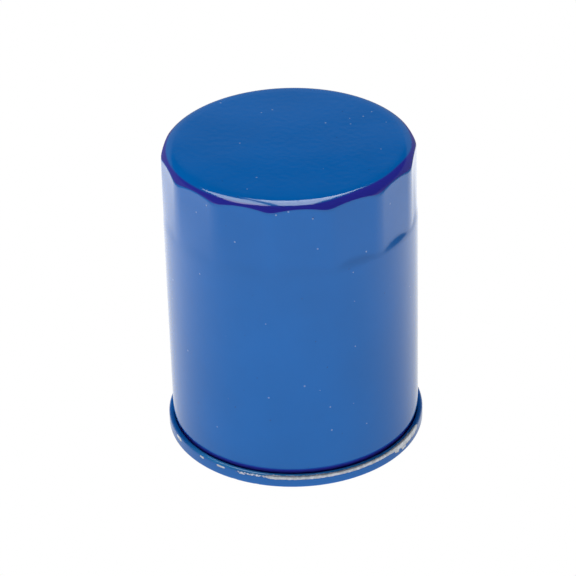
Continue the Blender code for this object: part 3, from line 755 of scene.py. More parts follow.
def fused_steel():
    """Weld metal with heat-tinted clouds."""
    finish, nodes = new_finish("fused_steel")
    tone = colours().weld
    clouds = nodes.clouds(1200.0, 4.0)
    shade = nodes.blend(nodes.ramp(clouds, 0.4, 0.62), tinted(tone, 0.5, 0.42, 0.36), tone)
    nodes.feed(Base_Color=shade, Metallic=1.0, Roughness=nodes.spanned(clouds, 0.3, 0.6),
               Normal=nodes.bumped(clouds, 0.4, 0.1 * MM))
    return finish


def moulded_rubber(name, tone, bloom, sheen=0.0, rough=(0.42, 0.6)):
    """Moulded rubber with a fine matt grain and pale bloom specks."""
    finish, nodes = new_finish(name)
    clouds = nodes.clouds(140.0, 4.0)
    shade = nodes.blend(nodes.ramp(clouds, 0.3, 0.7), tone, bloom)
    shade = nodes.blend(nodes.times(nodes.specks(900.0, 0.16, 0.10), 0.3), shade,
                        shaded(bloom, 2.5, 0.05))
    nodes.feed(Base_Color=shade, Roughness=nodes.spanned(clouds, *rough),
               Normal=nodes.bumped(nodes.clouds(2600.0, 3.0), 0.15, 0.04 * MM),
               Sheen_Weight=sheen)
    return finish


def cured_plastisol():
    """Cast bonding compound with tiny bubbles."""
    finish, nodes = new_finish("cured_plastisol")
    tone = colours().plastisol
    clouds = nodes.clouds(200.0, 4.0)
    bubbles = nodes.times(nodes.specks(800.0, 0.28, 0.25), 0.5)
    shade = nodes.blend(clouds, shaded(tone, 0.85), tone)
    nodes.feed(Base_Color=nodes.blend(bubbles, shade, shaded(tone, 0.6)),
               Roughness=nodes.plus(nodes.times(clouds, 0.2), 0.35),
               Normal=nodes.bumped(nodes.minus(clouds, bubbles), 0.3, 0.1 * MM),
               Subsurface_Weight=0.1, Subsurface_Scale=1.0 * MM)
    return finish


def treated_paper():
    """Filter paper: felted fibres, faint embossed lines and darker resin clouds."""
    finish, nodes = new_finish("treated_paper")
    tone = colours().paper
    place = nodes.place()
    fibres = nodes.add("TexNoise", {"Vector": place, "Scale": 1800.0, "Detail": 6.0,
                                    "Roughness": 0.7, "Distortion": 1.5}).outputs["Fac"]
    ribs = nodes.add("TexWave", {"Vector": place, "Scale": 260.0, "Distortion": 0.6},
                     bands_direction="Z").outputs["Fac"]
    shade = nodes.blend(nodes.ramp(nodes.clouds(120.0, 5.0), 0.3, 0.7), shaded(tone, 0.78),
                        tone)
    shade = nodes.blend(nodes.times(nodes.ramp(fibres, 0.45, 0.75), 0.5), shade,
                        shaded(tone, 1.3))
    relief = nodes.plus(fibres, nodes.times(ribs, 0.5))
    nodes.feed(Base_Color=shade, Roughness=nodes.plus(nodes.times(fibres, 0.15), 0.78),
               Normal=nodes.bumped(relief, 0.5, 0.08 * MM))
    return finish


def element_tin():
    return kept("element_tin", bare_tin, colours().tin, (0.18, 0.34))


def spring_steel():
    return kept("oiled_spring_steel", bare_tin, colours().spring, (0.25, 0.42))


def black_rubber():
    tone = colours().rubber
    return kept("black_rubber", moulded_rubber, tone, shaded(tone, 2.2, 0.006))


# ---------------------------------------------------------------- pieces


def soft_least(a, b, blend):
    """The smaller of two arrays, rounded off where they are within blend of each other."""
    near = np.maximum(blend - np.abs(a - b), 0.0) / blend
    return np.minimum(a, b) - near * near * blend / 4


def flat_line(angles):
    """Distance from the axis to the wrench flat that faces each angle."""
    size = sizes()
    half = math.pi / size.flat_count
    from_middle = np.abs(np.mod(angles, 2 * half) - half)
    reach = size.can_radius * math.cos(half)
    return soft_least(reach / np.cos(from_middle), reach / np.cos(2 * half - from_middle),
                      size.ridge_softness)


class FILTER_OT_canister(bpy.types.Operator):
    """Drawn can: crown, shoulder, wrench flats with their run-outs, neck and body hook"""

    bl_idname = "filter.canister"
    bl_label = "Canister"

    def execute(self, context):
        size = context.scene.filter_sizes
        low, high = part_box("canister")
        top, sheet_low = high.z, low.z + size.can_sheet
        radius, shoulder = size.can_radius, size.shoulder_radius
        seam_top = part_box("seaming_lid")[1].z
        foot = top - size.flat_length - 0.8 * MM

        # Crown and shoulder
        line = [(reach, top) for reach in
                (0.0, 12 * MM, 22 * MM, radius - shoulder - 1.5 * MM)]
        arc_steps = 20
        for step in range(arc_steps + 1):
            lean = math.pi / 2 * (1 - step / arc_steps)
            line.append((radius - shoulder + shoulder * math.cos(lean),
                         top - shoulder + shoulder * math.sin(lean)))

        # Wall, with its rows closest together round the foot of the flats
        stops = (top - shoulder, foot + 3.4 * MM, foot - 1.0 * MM, seam_top + size.neck_rise)
        for start, end, rows in zip(stops, stops[1:], (7, 16, 23)):
            line += [(radius, height) for height in np.linspace(start, end, rows + 1)[1:]]

        # Neck and body hook
        neck_steps = 12
        for step in range(1, neck_steps + 1):
            share = step / neck_steps
            ease = share * share * (3 - 2 * share)
            line.append((radius + (NECK - radius) * ease,
                         seam_top + size.neck_rise * (1 - share)))
        fold = (CAN_HOOK - NECK) / 2
        line += rounded([(NECK, seam_top, 0.0), (NECK, sheet_low, fold),
                         (CAN_HOOK, sheet_low, fold), (CAN_HOOK, CAN_HOOK_TIP, 0.0)],
                        steps=6)[1:]
        outside = len(line)
        section = sheet(line, size.can_sheet)
        depth = np.where(np.arange(len(section)) >= outside, size.can_sheet, 0.0)[None, :]

        def press(angles, radii, heights):
            """Presses the flats in: full depth at the shoulder, fading out at the foot."""
            chord = np.repeat(flat_line(angles), radii.shape[1], 1)
            # Degrees round from -Y; the flats from 12 to 75 are pressed firmer at the foot
            turn = np.degrees(np.arctan2(np.cos(angles), -np.sin(angles)))
            firm = (np.clip((turn - 12.0) / 10.0, 0.0, 1.0)
                    * np.clip((75.0 - turn) / 8.0, 0.0, 1.0))
            depth_at_foot = 0.28 + 0.44 * firm
            along = np.clip((heights - foot) / (top - shoulder - foot), 0.0, 1.0)
            share = depth_at_foot + (1.0 - depth_at_foot) * along ** 1.3
            flat = radius - (radius - chord) * share
            run_out = radius + (foot - heights) * (0.15 + 0.13 * firm)
            limit = -soft_least(-flat, -run_out, 0.2 * MM)
            pressed = soft_least(radii, limit - depth, size.flat_softness)
            pressable = (heights > foot - 2 * MM) & (radii > radius - shoulder)
            below_crown = heights < top - 0.01 * MM
            return np.where(pressable & below_crown, pressed, radii)

        inside = bare_tin("bare_tin", colours().tin, (0.22, 0.40))
        piece = turned("canister_shell", section, canister_enamel(), inside, columns=336,
                       reshape=press, inside_from=outside)
        placed(piece, "housing", "canister")
        return {"FINISHED"}


class FILTER_OT_seaming_lid(bpy.types.Operator):
    """Rolled lid: weld flange, folded bead, gasket channel and the double seam"""

    bl_idname = "filter.seaming_lid"
    bl_label = "Seaming lid"

    def execute(self, context):
        size = context.scene.filter_sizes
        floor = size.channel_floor
        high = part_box("seaming_lid")[1]
        flange = 21.2 * MM
        bead_in, bead_out, bead_low = 25.4 * MM, 26.6 * MM, floor - 3.0 * MM
        chuck_wall = 31.6 * MM
        fold = (high.x - LID_HOOK) / 2
        line = rounded([
            (flange, floor, 0.0),
            (bead_in, floor, 0.35 * MM),
            (bead_in, bead_low, 0.6 * MM),
            (bead_out, bead_low, 0.6 * MM),
            (bead_out, floor, 0.05 * MM),
            (chuck_wall, floor, 0.05 * MM),
            (chuck_wall, SEAM_FLOOR, size.seam_corner),
            (high.x, SEAM_FLOOR, size.seam_corner),
            (high.x, high.z, fold),
            (LID_HOOK, high.z, fold),
            (LID_HOOK, LID_HOOK_TIP, 0.0),
        ], steps=8)
        piece = turned("seaming_lid_rolled", sheet(spread(line, 0.6 * MM), -size.lid_sheet),
                       seam_enamel(), columns=224)
        cut_away(piece, lathed_cutter("weld_holes", [(WELD_HOLE, -1 * MM), (WELD_HOLE, 1 * MM)],
                                      round_places(6, WELD_CIRCLE, floor)))
        placed(piece, "housing", "seaming_lid")
        return {"FINISHED"}


class FILTER_OT_seam_sealant(bpy.types.Operator):
    """Compound in the pocket of the double seam"""

    bl_idname = "filter.seam_sealant"
    bl_label = "Seam sealant"

    def execute(self, context):
        low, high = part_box("seam_sealant")
        inner, edge = CAN_HOOK + 0.1 * MM, 0.1 * MM
        section = rounded([(inner, low.z, edge), (high.x, low.z, edge),
                           (high.x, high.z, edge), (inner, high.z, edge)],
                          closed=True, steps=3)
        tone = colours().compound
        piece = turned("seam_compound", section,
                       moulded_rubber("seam_compound", tone, shaded(tone, 1.3)))
        placed(piece, "housing", "seam_sealant")
        return {"FINISHED"}


class FILTER_OT_base_plate(bpy.types.Operator):
    """Thick plate with the threaded hub and the ring of chamfered oil inlets"""

    bl_idname = "filter.base_plate"
    bl_label = "Base plate"

    def execute(self, context):
        size = context.scene.filter_sizes
        low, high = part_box("base_plate")
        bottom, top, outer = low.z, high.z, high.x
        thick = 3.0 * MM
        plate_top = bottom + thick
        lead_in, lead_out = 1.4 * MM, 0.5 * MM    # chamfers at the ends of the thread
        outline = spread(rounded([
            (THREAD_CREST + lead_out, top, 0.0),
            (HUB, top, 0.6 * MM),
            (HUB, plate_top, 1.0 * MM),
            (outer, plate_top, 0.6 * MM),
            (outer, bottom, 0.35 * MM),
            (THREAD_CREST + lead_in + 0.5 * MM, bottom, 0.3 * MM),
            (THREAD_CREST + lead_in, bottom + 0.1 * MM, 0.0),
        ], steps=5), 1.5 * MM)
        bore_line = spread([(THREAD_CREST + lead_in, bottom + 0.1 * MM),
                            (THREAD_CREST, bottom + lead_in),
                            (THREAD_CREST, top - lead_out),
                            (THREAD_CREST + lead_out, top)], 0.11 * MM)[1:-1]

        def thread(angles, radii, heights):
            """Cuts a helical groove with a narrow crest and root into the bore."""
            turn = heights / size.thread_pitch - angles / TAU
            saw = np.abs(np.mod(turn, 1.0) - 0.5) * 2
            groove = np.clip((saw - 0.12) / 0.72, 0.0, 1.0)
            cut = THREAD_CREST + size.thread_depth * groove
            in_bore = radii < THREAD_CREST + lead_in + 0.05 * MM
            in_bore &= (heights > bottom + 0.15 * MM) & (heights < top - 0.05 * MM)
            return np.where(in_bore, np.maximum(radii, cut), radii)

        piece = turned("base_plate_tapped", outline + bore_line, zinc_plating(), columns=144,
                       reshape=thread)
        inlet, flare, half = size.inlet_radius, 0.45 * MM, thick / 2
        hole = [(inlet + 2 * flare, -half - flare), (inlet, -half + flare),
                (inlet, half - flare), (inlet + 2 * flare, half + flare)]
        pocket = [(WELD_HOLE, -1.1 * MM), (WELD_HOLE, 1.0 * MM),
                  (WELD_HOLE - 0.3 * MM, 1.1 * MM)]
        inlets = round_places(8, INLET_CIRCLE, bottom + half)
        cut_away(piece, lathed_cutter("inlets", hole, inlets), 30.0)
        pockets = round_places(6, WELD_CIRCLE, bottom)
        cut_away(piece, lathed_cutter("weld_pockets", pocket, pockets), 30.0)
        placed(piece, "housing", "base_plate")
        return {"FINISHED"}


class FILTER_OT_spot_welds(bpy.types.Operator):
    """Six dimpled weld nuggets between lid and plate"""

    bl_idname = "filter.spot_welds"
    bl_label = "Spot welds"

    def execute(self, context):
        finish = fused_steel()
        low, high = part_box("spot_weld_1")
        radius, tall = (high.y - low.y) / 2, high.z - low.z
        section = rounded([(0.0, 0.16 * MM, 0.0), (0.55 * radius, 0.12 * MM, 0.3 * MM),
                           (0.8 * radius, 0.0, 0.2 * MM), (radius, 0.0, 0.15 * MM),
                           (radius, tall, 0.2 * MM), (0.0, tall, 0.0)], steps=4)
        for number in range(1, 7):
            node = f"spot_weld_{number}"
            low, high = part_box(node)
            piece = turned(f"weld_nugget_{number}", section, finish, columns=36)
            piece.location = ((low.x + high.x) / 2, (low.y + high.y) / 2, low.z)
            placed(piece, "housing", node)
        return {"FINISHED"}


class FILTER_OT_mounting_gasket(bpy.types.Operator):
    """Moulded ring gasket with rounded edges and the mould's parting line"""

    bl_idname = "filter.mounting_gasket"
    bl_label = "Mounting gasket"

    def execute(self, context):
        low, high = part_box("mounting_gasket")
        outer, top = high.x, high.z
        inner = outer - 4.2 * MM
        edge = context.scene.filter_sizes.gasket_edge
        flash = 0.08 * MM
        middle = (low.z + top) / 2
        section = rounded([
            (inner, top, 0.3 * MM),
            (inner, middle + flash, 0.0),
            (inner - flash, middle, 0.0),
            (inner, middle - flash, 0.0),
            (inner, low.z, edge),
            (outer, low.z, edge),
            (outer - flash, middle - flash, 0.0),
            (outer, middle, 0.0),
            (outer - flash, middle + flash, 0.0),
            (outer, top, 0.3 * MM),
        ], closed=True, steps=6)
        piece = turned("gasket_ring", section, black_rubber(), columns=200)
        placed(piece, "housing", "mounting_gasket")
        return {"FINISHED"}


class FILTER_OT_drainback_valve(bpy.types.Operator):
    """Silicone valve: flange, collar and a skirt that reaches out to its lip"""

    bl_idname = "filter.drainback_valve"
    bl_label = "Anti-drain-back valve"

    def execute(self, context):
        low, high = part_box("anti_drainback_valve")
        top, lip, lip_low = high.z, high.x, low.z
        wall, skirt = 1.5 * MM, 0.9 * MM
        flange_in, flange_out, flange_low = HUB - 1.6 * MM, HUB + 4.0 * MM, top - wall
        collar_in, collar_low = HUB + 0.3 * MM, flange_low - 3.6 * MM
        collar_out = collar_in + wall
        section = spread(rounded([
            (flange_in, top, 0.3 * MM),
            (flange_out, top, 0.4 * MM),
            (flange_out, flange_low, 0.4 * MM),
            (collar_out, flange_low, 0.5 * MM),
            (collar_out, collar_low, 1.4 * MM),
            (lip, lip_low + skirt, 0.35 * MM),
            (lip, lip_low, 0.3 * MM),
            (lip - skirt, lip_low, 0.4 * MM),
            (collar_out, collar_low - skirt, 1.2 * MM),
            (collar_in, collar_low - skirt, 0.3 * MM),
            (collar_in, flange_low, 0.2 * MM),
            (flange_in, flange_low, 0.3 * MM),
        ], closed=True, steps=5), 0.6 * MM, closed=True)
        tone = colours().silicone
        finish = moulded_rubber("red_silicone", tone, shaded(tone, 0.82), sheen=0.1,
                                rough=(0.34, 0.5))
        piece = turned("drainback_skirt", section, finish, columns=144)
        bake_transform(piece)
        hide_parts("anti_drainback_valve")
        return {"FINISHED"}


class FILTER_OT_end_caps(bpy.types.Operator):
    """Pressed end caps of the element, with rounded bends and a stiffening bead"""

    bl_idname = "filter.end_caps"
    bl_label = "End caps"

    def execute(self, context):
        low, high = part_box("lower_end_cap")
        inner, bottom, rim, outer = 12.1 * MM, low.z, high.z, high.x
        line = rounded([(inner, rim, 0.0), (inner, bottom, 0.7 * MM),
                        (outer, bottom, 0.9 * MM), (outer, rim, 0.0)], steps=6)
        piece = turned("lower_cap_pressing", sheet(spread(line, 1.2 * MM), -TIN_SHEET),
                       element_tin())
        placed(piece, "element", "lower_end_cap")

        low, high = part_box("upper_end_cap")
        top, skirt, outer = high.z, low.z, high.x
        seat, bead, bend = 6.5 * MM, top - 0.22 * MM, 0.6 * MM
        line = rounded([(seat, top, 0.0), (16.9 * MM, top, bend), (17.6 * MM, bead, bend),
                        (24.4 * MM, bead, bend), (25.2 * MM, top, bend),
                        (outer, top, 0.9 * MM), (outer, skirt, 0.0)], steps=6)
        piece = turned("upper_cap_pressing", sheet(spread(line, 1.2 * MM), TIN_SHEET),
                       element_tin())
        placed(piece, "element", "upper_end_cap")
        return {"FINISHED"}


class FILTER_OT_bond_rings(bpy.types.Operator):
    """Cast plastisol under and over the media, with a drawn-up edge"""

    bl_idname = "filter.bond_rings"
    bl_label = "Bond rings"

    def execute(self, context):
        finish = cured_plastisol()
        for node, name, inner, climbs in (
                ("lower_bond_ring", "lower_bond_cast", 12.8 * MM, 1),
                ("upper_bond_ring", "upper_bond_cast", 14.2 * MM, -1)):
            low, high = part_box(node)
            outer = high.x
            face, back = (high.z, low.z) if climbs > 0 else (low.z, high.z)
            sunk = face - 0.35 * MM * climbs
            corners = [(inner, back, 0.15 * MM), (inner, face, 0.1 * MM),
                       (inner + 1.2 * MM, sunk, 0.8 * MM), (outer - 1.4 * MM, sunk, 0.8 * MM),
                       (outer, face, 0.1 * MM), (outer, back, 0.15 * MM)]
            section = spread(rounded(corners, closed=True, steps=4), 1.5 * MM, closed=True)
            piece = turned(name, section, finish, columns=144)
            placed(piece, "element", node)
        return {"FINISHED"}


class FILTER_OT_filter_media(bpy.types.Operator):
    """Pleated paper with rounded folds, and the clip over its joined ends"""

    bl_idname = "filter.filter_media"
    bl_label = "Filter media"

    def execute(self, context):
        size = context.scene.filter_sizes
        low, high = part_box("filter_media")
        bottom, tall = low.z, high.z - low.z
        half_paper = size.paper / 2
        half_fold_out, half_fold_in = 0.55 * MM, 0.40 * MM

        # One loop along the middle of the paper, then its two faces
        corners = []
        for pleat in range(size.pleat_count):
            crest = TAU * pleat / size.pleat_count
            valley = crest + math.pi / size.pleat_count
            out, back = half_fold_out / FOLDS_OUT, half_fold_in / FOLDS_IN
            corners += [(reach * math.cos(turn), reach * math.sin(turn), 0.5 * MM)
                        for reach, turn in ((FOLDS_OUT, crest - out), (FOLDS_OUT, crest + out),
                                            (FOLDS_IN, valley - back),
                                            (FOLDS_IN, valley + back))]
        loop = spread(rounded(corners, closed=True, steps=4), 1.6 * MM, closed=True)
        ring = np.array(beside(loop, half_paper, closed=True)
                        + beside(loop, -half_paper, closed=True)[::-1])
        around = np.arctan2(ring[:, 1], ring[:, 0])
        rows, sway = 14, 0.06    # the pleats' sway, as a share of half a pleat
        sections = []
        for row in range(rows + 1):
            share = row / rows
            drift = (sway * math.sin(math.pi * share) * np.sin(around * 5 + share * 4)
                     * np.pi / size.pleat_count)
            cos, sin = np.cos(drift), np.sin(drift)
            sections.append(np.stack([ring[:, 0] * cos - ring[:, 1] * sin,
                                      ring[:, 0] * sin + ring[:, 1] * cos,
                                      np.full(len(ring), bottom + tall * share)], 1))
        mesh = stacked("pleated_media", sections, 50.0, closed=True)
        piece = linked("pleated_media", mesh, treated_paper())
        placed(piece, "element", "filter_media")

        # The clip folds over one crest and is crimped along its two legs
        room = half_paper + 0.3 * MM
        back, half_inside = FOLDS_OUT + room, half_fold_out + room
        tip, bend = back - 4.0 * MM, 0.35 * MM
        path = rounded([(tip, half_inside, 0.0), (back, half_inside, bend),
                        (back, -half_inside, bend), (tip, -half_inside, 0.0)], steps=5)
        outline = np.array(sheet(spread(path, 0.8 * MM), -0.4 * MM))
        side = np.where(np.abs(outline[:, 1]) > 0.6 * MM, np.sign(outline[:, 1]), 0.0)
        crimps, pinch = 18, 0.12 * MM
        rows = crimps * 4
        sections = []
        for row in range(rows + 1):
            squeeze = pinch * max(0.0, math.sin(TAU * crimps * row / rows))
            sections.append(np.stack([outline[:, 0], outline[:, 1] - side * squeeze,
                                      np.full(len(outline), bottom + tall * row / rows)], 1))
        piece = linked("seam_clip_crimped", stacked("seam_clip_crimped", sections, 40.0),
                       element_tin())
        placed(piece, "element", "media_seam_clip")
        return {"FINISHED"}


class FILTER_OT_center_tube(bpy.types.Operator):
    """Perforated tube with flared holes"""

    bl_idname = "filter.center_tube"
    bl_label = "Center tube"

    def execute(self, context):
        low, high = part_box("center_tube")
        outer = high.x
        inner = outer - TIN_SHEET
        section = spread([(inner, high.z), (outer, high.z), (outer, low.z), (inner, low.z)],
                         2.0 * MM, closed=True)
        piece = turned("tube_perforated", section, element_tin(), columns=120)
        rows, per_row = 4, 6
        pitch = (high.z - low.z) / rows
        lying = Matrix.Rotation(math.pi / 2, 4, "Y")
        places = [place @ lying for row in range(rows) for place in round_places(
            per_row, outer, low.z + (row + 0.5) * pitch, (row % 2) * math.pi / per_row)]
        hole = [(2.4 * MM, -2 * MM), (2.4 * MM, -0.1 * MM), (2.75 * MM, 0.6 * MM)]
        cut_away(piece, lathed_cutter("tube_holes", hole, places, 28))
        placed(piece, "element", "center_tube")
        return {"FINISHED"}


class FILTER_OT_bypass_valve(bpy.types.Operator):
    """Bypass cage, disc, seal and coil spring"""

    bl_idname = "filter.bypass_valve"
    bl_label = "Bypass valve"

    def execute(self, context):
        self.cage()
        self.disc_and_seal()
        self.spring()
        return {"FINISHED"}

    def cage(self):
        """Pressed cup with a hole in its floor and four windows in its wall."""
        low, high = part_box("bypass_cage")
        floor, top, flange = low.z, high.z, high.x
        hole, thick, inside = 3.5 * MM, 0.5 * MM, 10.2 * MM
        line = rounded([(hole, floor + thick, 0.0), (inside, floor + thick, 0.9 * MM),
                        (inside, top, 0.25 * MM), (flange, top, 0.0)], steps=6)
        piece = turned("cage_pressing", sheet(spread(line, 0.8 * MM), thick), element_tin(),
                       columns=112)
        window = Matrix.Diagonal((3 * MM, 8 * MM, 7 * MM, 1.0))
        built = bmesh.new()
        for place in round_places(4, inside + thick / 2, (floor + top) / 2):
            block = bmesh.ops.create_cube(built, size=1.0, matrix=place @ window)["verts"]
            outward = place.col[0].xyz
            through = [edge for edge in built.edges
                       if all(vertex in block for vertex in edge.verts)
                       and abs((edge.verts[0].co - edge.verts[1].co).dot(outward)) > 1 * MM]
            bmesh.ops.bevel(built, geom=through, offset=1.2 * MM, segments=5,
                            affect="EDGES", profile=0.5)
        cut_away(piece, mesh_of(built, "cage_windows"))
        placed(piece, "element", "bypass_cage")

    def disc_and_seal(self):
        """Coined disc with a spigot for the coil, and the seal that lies on it."""
        low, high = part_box("bypass_disc")
        top, bottom, radius = high.z, low.z, high.x
        face, spigot, dimple = top - 0.8 * MM, 5.8 * MM, bottom + 0.5 * MM
        section = rounded([(0.0, top, 0.0), (radius, top, 0.2 * MM), (radius, face, 0.2 * MM),
                           (spigot, face, 0.3 * MM), (spigot, bottom, 0.4 * MM),
                           (0.6 * spigot, bottom, 0.4 * MM),
                           (0.5 * spigot, dimple, 0.4 * MM), (0.0, dimple, 0.0)], steps=4)
        piece = turned("bypass_disc_coined", section, element_tin(), columns=112)
        placed(piece, "bypass_poppet", "bypass_disc")

        low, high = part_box("bypass_seal")
        outer, inner = high.x, high.x - 2.6 * MM
        section = rounded([(inner, high.z, 0.4 * MM), (outer, high.z, 0.4 * MM),
                           (outer, low.z, 0.15 * MM), (inner, low.z, 0.15 * MM)],
                          closed=True, steps=4)
        piece = turned("bypass_seal_moulded", section, black_rubber(), columns=112)
        placed(piece, "bypass_poppet", "bypass_seal")

    def spring(self):
        """Coil with three open turns between two close end turns."""
        low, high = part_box("bypass_spring")
        gauge, coil = 0.5 * MM, high.x - 0.5 * MM
        start, end = low.z + gauge, high.z - gauge
        turns, per_turn = 5, 40
        open_turns = turns - 2
        end_pitch = 2.3 * gauge
        pitch = (end - start - 2 * end_pitch) / open_turns
        path = []
        for step in range(turns * per_turn + 1):
            turn = step / per_turn
            climb = (min(turn, 1.0) * end_pitch
                     + min(max(turn - 1.0, 0.0), open_turns) * pitch
                     + max(turn - 1.0 - open_turns, 0.0) * end_pitch)
            path.append((coil * math.cos(TAU * turn), coil * math.sin(TAU * turn),
                         start + climb))
        piece = linked("bypass_coil", wire("bypass_coil", path, gauge), spring_steel())
        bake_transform(piece)
        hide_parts("bypass_spring")


class FILTER_OT_support_spring(bpy.types.Operator):
    """Leaf spring: a ring with four bowed legs up to the crown"""

    bl_idname = "filter.support_spring"
    bl_label = "Element support spring"

    def execute(self, context):
        low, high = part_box("element_support_spring")
        thick = 0.6 * MM
        ring_height, tip_height = low.z + thick / 2, high.z - thick / 2
        inner, outer, reach = 11.0 * MM, 16.5 * MM, 10.0 * MM
        columns, legs, span, rows = 112, 4, 12, 14
        built = bmesh.new()
        bands = []
        for radius in (inner + (outer - inner) * band / 3 for band in range(4)):
            bands.append([built.verts.new((radius * math.cos(TAU * step / columns),
                                           radius * math.sin(TAU * step / columns),
                                           ring_height)) for step in range(columns)])
        for near, far in zip(bands, bands[1:]):
            for step in range(columns):
                after = (step + 1) % columns
                built.faces.new((near[step], far[step], far[after], near[after]))

        half_width = outer * math.sin(math.pi * span / columns)
        for leg in range(legs):
            first = leg * columns // legs
            middle = TAU * (first + span / 2) / columns
            before = [bands[-1][(first + step) % columns] for step in range(span + 1)]
            for row in range(1, rows + 1):
                share = row / rows
                out = outer + reach * share
                height = ring_height + (tip_height - ring_height) * math.sin(
                    share * math.pi / 2)
                rounded_tip = {rows - 1: 0.95, rows: 0.82}.get(row, 1.0)
                width = half_width * (1 - 0.35 * share) * rounded_tip
                fresh = []
                for step in range(span + 1):
                    side = width * (2 * step / span - 1)
                    bow = (math.sqrt(max(0.0, outer ** 2 - side ** 2)) - outer) * (1 - share)
                    x = (out + bow) * math.cos(middle) - side * math.sin(middle)
                    y = (out + bow) * math.sin(middle) + side * math.cos(middle)
                    fresh.append(built.verts.new((x, y, height)))
                for step in range(span):
                    built.faces.new((before[step], fresh[step], fresh[step + 1],
                                     before[step + 1]))
                before = fresh
        bmesh.ops.recalc_face_normals(built, faces=built.faces)
        piece = linked("support_leaf", mesh_of(built, "support_leaf"), spring_steel())
        solidify = piece.modifiers.new("sheet", "SOLIDIFY")
        solidify.thickness = thick
        solidify.offset = 0.0
        solidify.use_even_offset = True
        baked(piece)
        tidied(piece.data)
        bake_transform(piece)
        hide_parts("element_support_spring")
        return {"FINISHED"}


# ---------------------------------------------------------------- stage


def floor_finish(glow):
    """White floor that lights the filter from below; clear when seen from underneath."""
    finish, nodes = new_finish("white_floor")
    finish.node_tree.nodes.clear()
    ray = nodes.add("LightPath").outputs
    radius, turn = nodes.polar()[:2]
    off_front = nodes.maths("ABSOLUTE", turn)
    outward = nodes.ramp(radius, 0.03, 0.17)

    # What gloss mirrors: brighter behind, dim far off at the sides and behind
    mirrored = nodes.times(nodes.blend_values(outward, 0.62 * glow, 0.86 * glow),
                           nodes.blend_values(nodes.ramp(off_front, 40.0, 120.0), 1.0, 1.6))
    far_off = nodes.times(nodes.ramp(radius, 0.19, 0.27), nodes.ramp(off_front, 60.0, 95.0))
    mirrored = nodes.blend_values(far_off, mirrored, 0.22 * glow)

    # What lights the surfaces: less from the right, and a little less from the left
    spill = nodes.blend_values(outward, 1.55 * glow, 1.78 * glow)
    for start, end, soft, less in ((40.0, 140.0, 30.0, 0.36), (-140.0, -60.0, 20.0, 0.10)):
        there = nodes.window(turn, start, end, soft)
        spill = nodes.times(spill, nodes.minus(1.0, nodes.times(there, less)))

    strength = nodes.blend_values(ray["Is Glossy Ray"], spill, mirrored)
    strength = nodes.blend_values(ray["Is Camera Ray"], strength, 1.0)
    white = nodes.add("Emission", {"Color": (1.0, 1.0, 1.0), "Strength": strength})
    clear = nodes.add("BsdfTransparent")
    underneath = nodes.add("NewGeometry").outputs["Backfacing"]
    mix = nodes.add("MixShader", {0: underneath, 1: white.outputs[0], 2: clear.outputs[0]})
    nodes.add("OutputMaterial", {0: mix.outputs[0]})
    return finish


def studio_world():
    """White low down in front, dim behind, dark above, and white to the camera."""
    world = bpy.data.worlds.new("studio")
    world.use_nodes = True
    world.node_tree.nodes.clear()
    nodes = Nodes(world.node_tree)
    view = nodes.add("TexCoord").outputs["Generated"]
    along = nodes.add("SeparateXYZ", {0: view}).outputs
    rise = nodes.maths("DEGREES", nodes.maths("ARCSINE", along[2]))
    behind = nodes.ramp(along[1], -0.55, 0.05)
    edge = nodes.blend_values(behind, 9.0, 28.3)    # degrees up to which it is pale
    soft = nodes.blend_values(behind, 2.0, 1.6)
    low = nodes.ramp(nodes.maths("DIVIDE", nodes.minus(edge, rise), soft), -1.0, 1.0)
    pale = nodes.blend(behind, (1.0, 1.0, 1.0), (0.26, 0.26, 0.24))
    tone = nodes.blend(low, (0.01, 0.012, 0.03), pale)
    seen = nodes.add("LightPath").outputs["Is Camera Ray"]
    tone = nodes.blend(seen, tone, (1.0, 1.0, 1.0))
    ground = nodes.add("Background", {"Color": tone, "Strength": 1.0})
    nodes.add("OutputWorld", {0: ground.outputs[0]})
    bpy.context.scene.world = world


def direction(azimuth, elevation):
    """Unit vector out from the filter, turned from -Y towards +X and raised."""
    return Vector((math.sin(azimuth) * math.cos(elevation),
                   -math.cos(azimuth) * math.cos(elevation), math.sin(elevation)))


def sideways(away):
    """Level direction to the right, for whoever looks back along away."""
    return Vector((0.0, 0.0, 1.0)).cross(away).normalized()


def overhead_lamp(name, target, azimuth, elevation, aside, width, tall, power):
    """A white rectangular lamp 1 m from its target, moved aside and turned square to it."""
    lamp = bpy.data.lights.new(name, "AREA")
    lamp.shape = "RECTANGLE"
    lamp.size, lamp.size_y = width, tall
    lamp.energy = power
    light = bpy.data.objects.new(name, lamp)
    bpy.context.scene.collection.objects.link(light)
    away = direction(azimuth, math.radians(elevation))
    light.location = target + away - sideways(away) * aside
    light.rotation_mode = "QUATERNION"
    light.rotation_quaternion = (-away).to_track_quat("-Z", "Y")


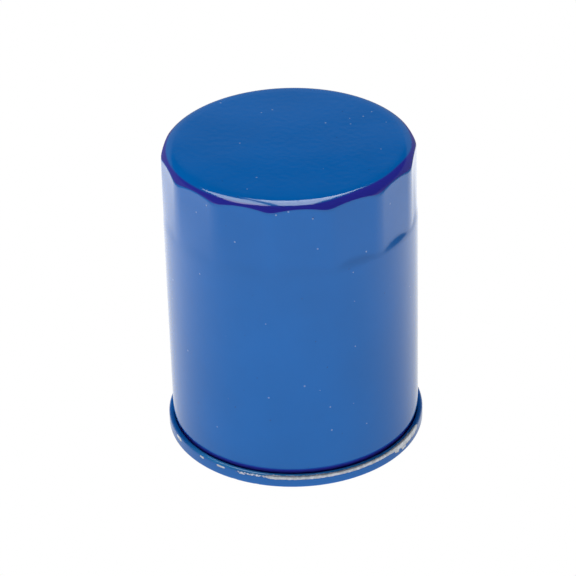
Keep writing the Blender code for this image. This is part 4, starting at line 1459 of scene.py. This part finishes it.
class FILTER_OT_stage(bpy.types.Operator):
    """Pale floor, overhead softboxes, studio surroundings and camera"""

    bl_idname = "filter.stage"
    bl_label = "Stage"

    def execute(self, context):
        settings = context.scene.filter_stage
        built = bmesh.new()
        bmesh.ops.create_circle(built, cap_ends=True, segments=96, radius=4.0)
        floor = linked("floor", mesh_of(built, "floor"), floor_finish(settings.floor_glow))
        floor.location.z = CAD_BOX[0].z - 0.05 * MM
        studio_world()
        crown = Vector((0.0, 0.0, CAD_BOX[1].z))
        behind = math.pi + settings.azimuth
        overhead_lamp("softbox", crown, behind, 71.0, 0.05, 0.31, 0.975,
                      settings.softbox_power)
        overhead_lamp("side_softbox", crown, behind, 81.5, -0.40, 0.44, 0.70,
                      settings.side_softbox_power)

        camera = bpy.data.cameras.new("camera")
        camera.lens = settings.lens
        camera.sensor_width = 36.0
        camera.clip_start, camera.clip_end = 0.01, 50.0
        viewer = bpy.data.objects.new("camera", camera)
        context.scene.collection.objects.link(viewer)
        back = direction(settings.azimuth, settings.elevation)
        aim = Vector((-1.23 * MM, -0.4 * MM, 42.33 * MM))
        right = sideways(back)
        turn_right = (right * math.cos(settings.roll)
                      + back.cross(right) * math.sin(settings.roll))
        place = Matrix((turn_right, back.cross(turn_right), back)).transposed().to_4x4()
        place.translation = aim + back * settings.distance
        viewer.matrix_world = place
        context.scene.camera = viewer
        context.scene.view_settings.view_transform = "Standard"
        return {"FINISHED"}


class FILTER_PT_panel(bpy.types.Panel):
    """Steps that build the filter, in order"""

    bl_label = "Oil filter"
    bl_idname = "FILTER_PT_panel"
    bl_space_type = "VIEW_3D"
    bl_region_type = "UI"
    bl_category = "Filter"

    def draw(self, context):
        column = self.layout.column(align=True)
        for step in STEPS:
            column.operator(step.bl_idname)
        for group in (context.scene.filter_sizes, context.scene.filter_colours,
                      context.scene.filter_stage):
            box = self.layout.box()
            for name in group.__annotations__:
                box.prop(group, name)


STEPS = (
    FILTER_OT_canister,
    FILTER_OT_seaming_lid,
    FILTER_OT_seam_sealant,
    FILTER_OT_base_plate,
    FILTER_OT_spot_welds,
    FILTER_OT_mounting_gasket,
    FILTER_OT_drainback_valve,
    FILTER_OT_end_caps,
    FILTER_OT_bond_rings,
    FILTER_OT_filter_media,
    FILTER_OT_center_tube,
    FILTER_OT_bypass_valve,
    FILTER_OT_support_spring,
    FILTER_OT_stage,
)
CLASSES = (FilterSizes, FilterColours, StageSettings, *STEPS, FILTER_PT_panel)


def register():
    for item in CLASSES:
        bpy.utils.register_class(item)
    bpy.types.Scene.filter_sizes = PointerProperty(type=FilterSizes)
    bpy.types.Scene.filter_colours = PointerProperty(type=FilterColours)
    bpy.types.Scene.filter_stage = PointerProperty(type=StageSettings)


def unregister():
    del bpy.types.Scene.filter_stage
    del bpy.types.Scene.filter_colours
    del bpy.types.Scene.filter_sizes
    for item in reversed(CLASSES):
        bpy.utils.unregister_class(item)


def main():
    register()
    for step in STEPS:
        group, name = step.bl_idname.split(".")
        getattr(getattr(bpy.ops, group), name)()


if __name__ == "__main__":
    main()
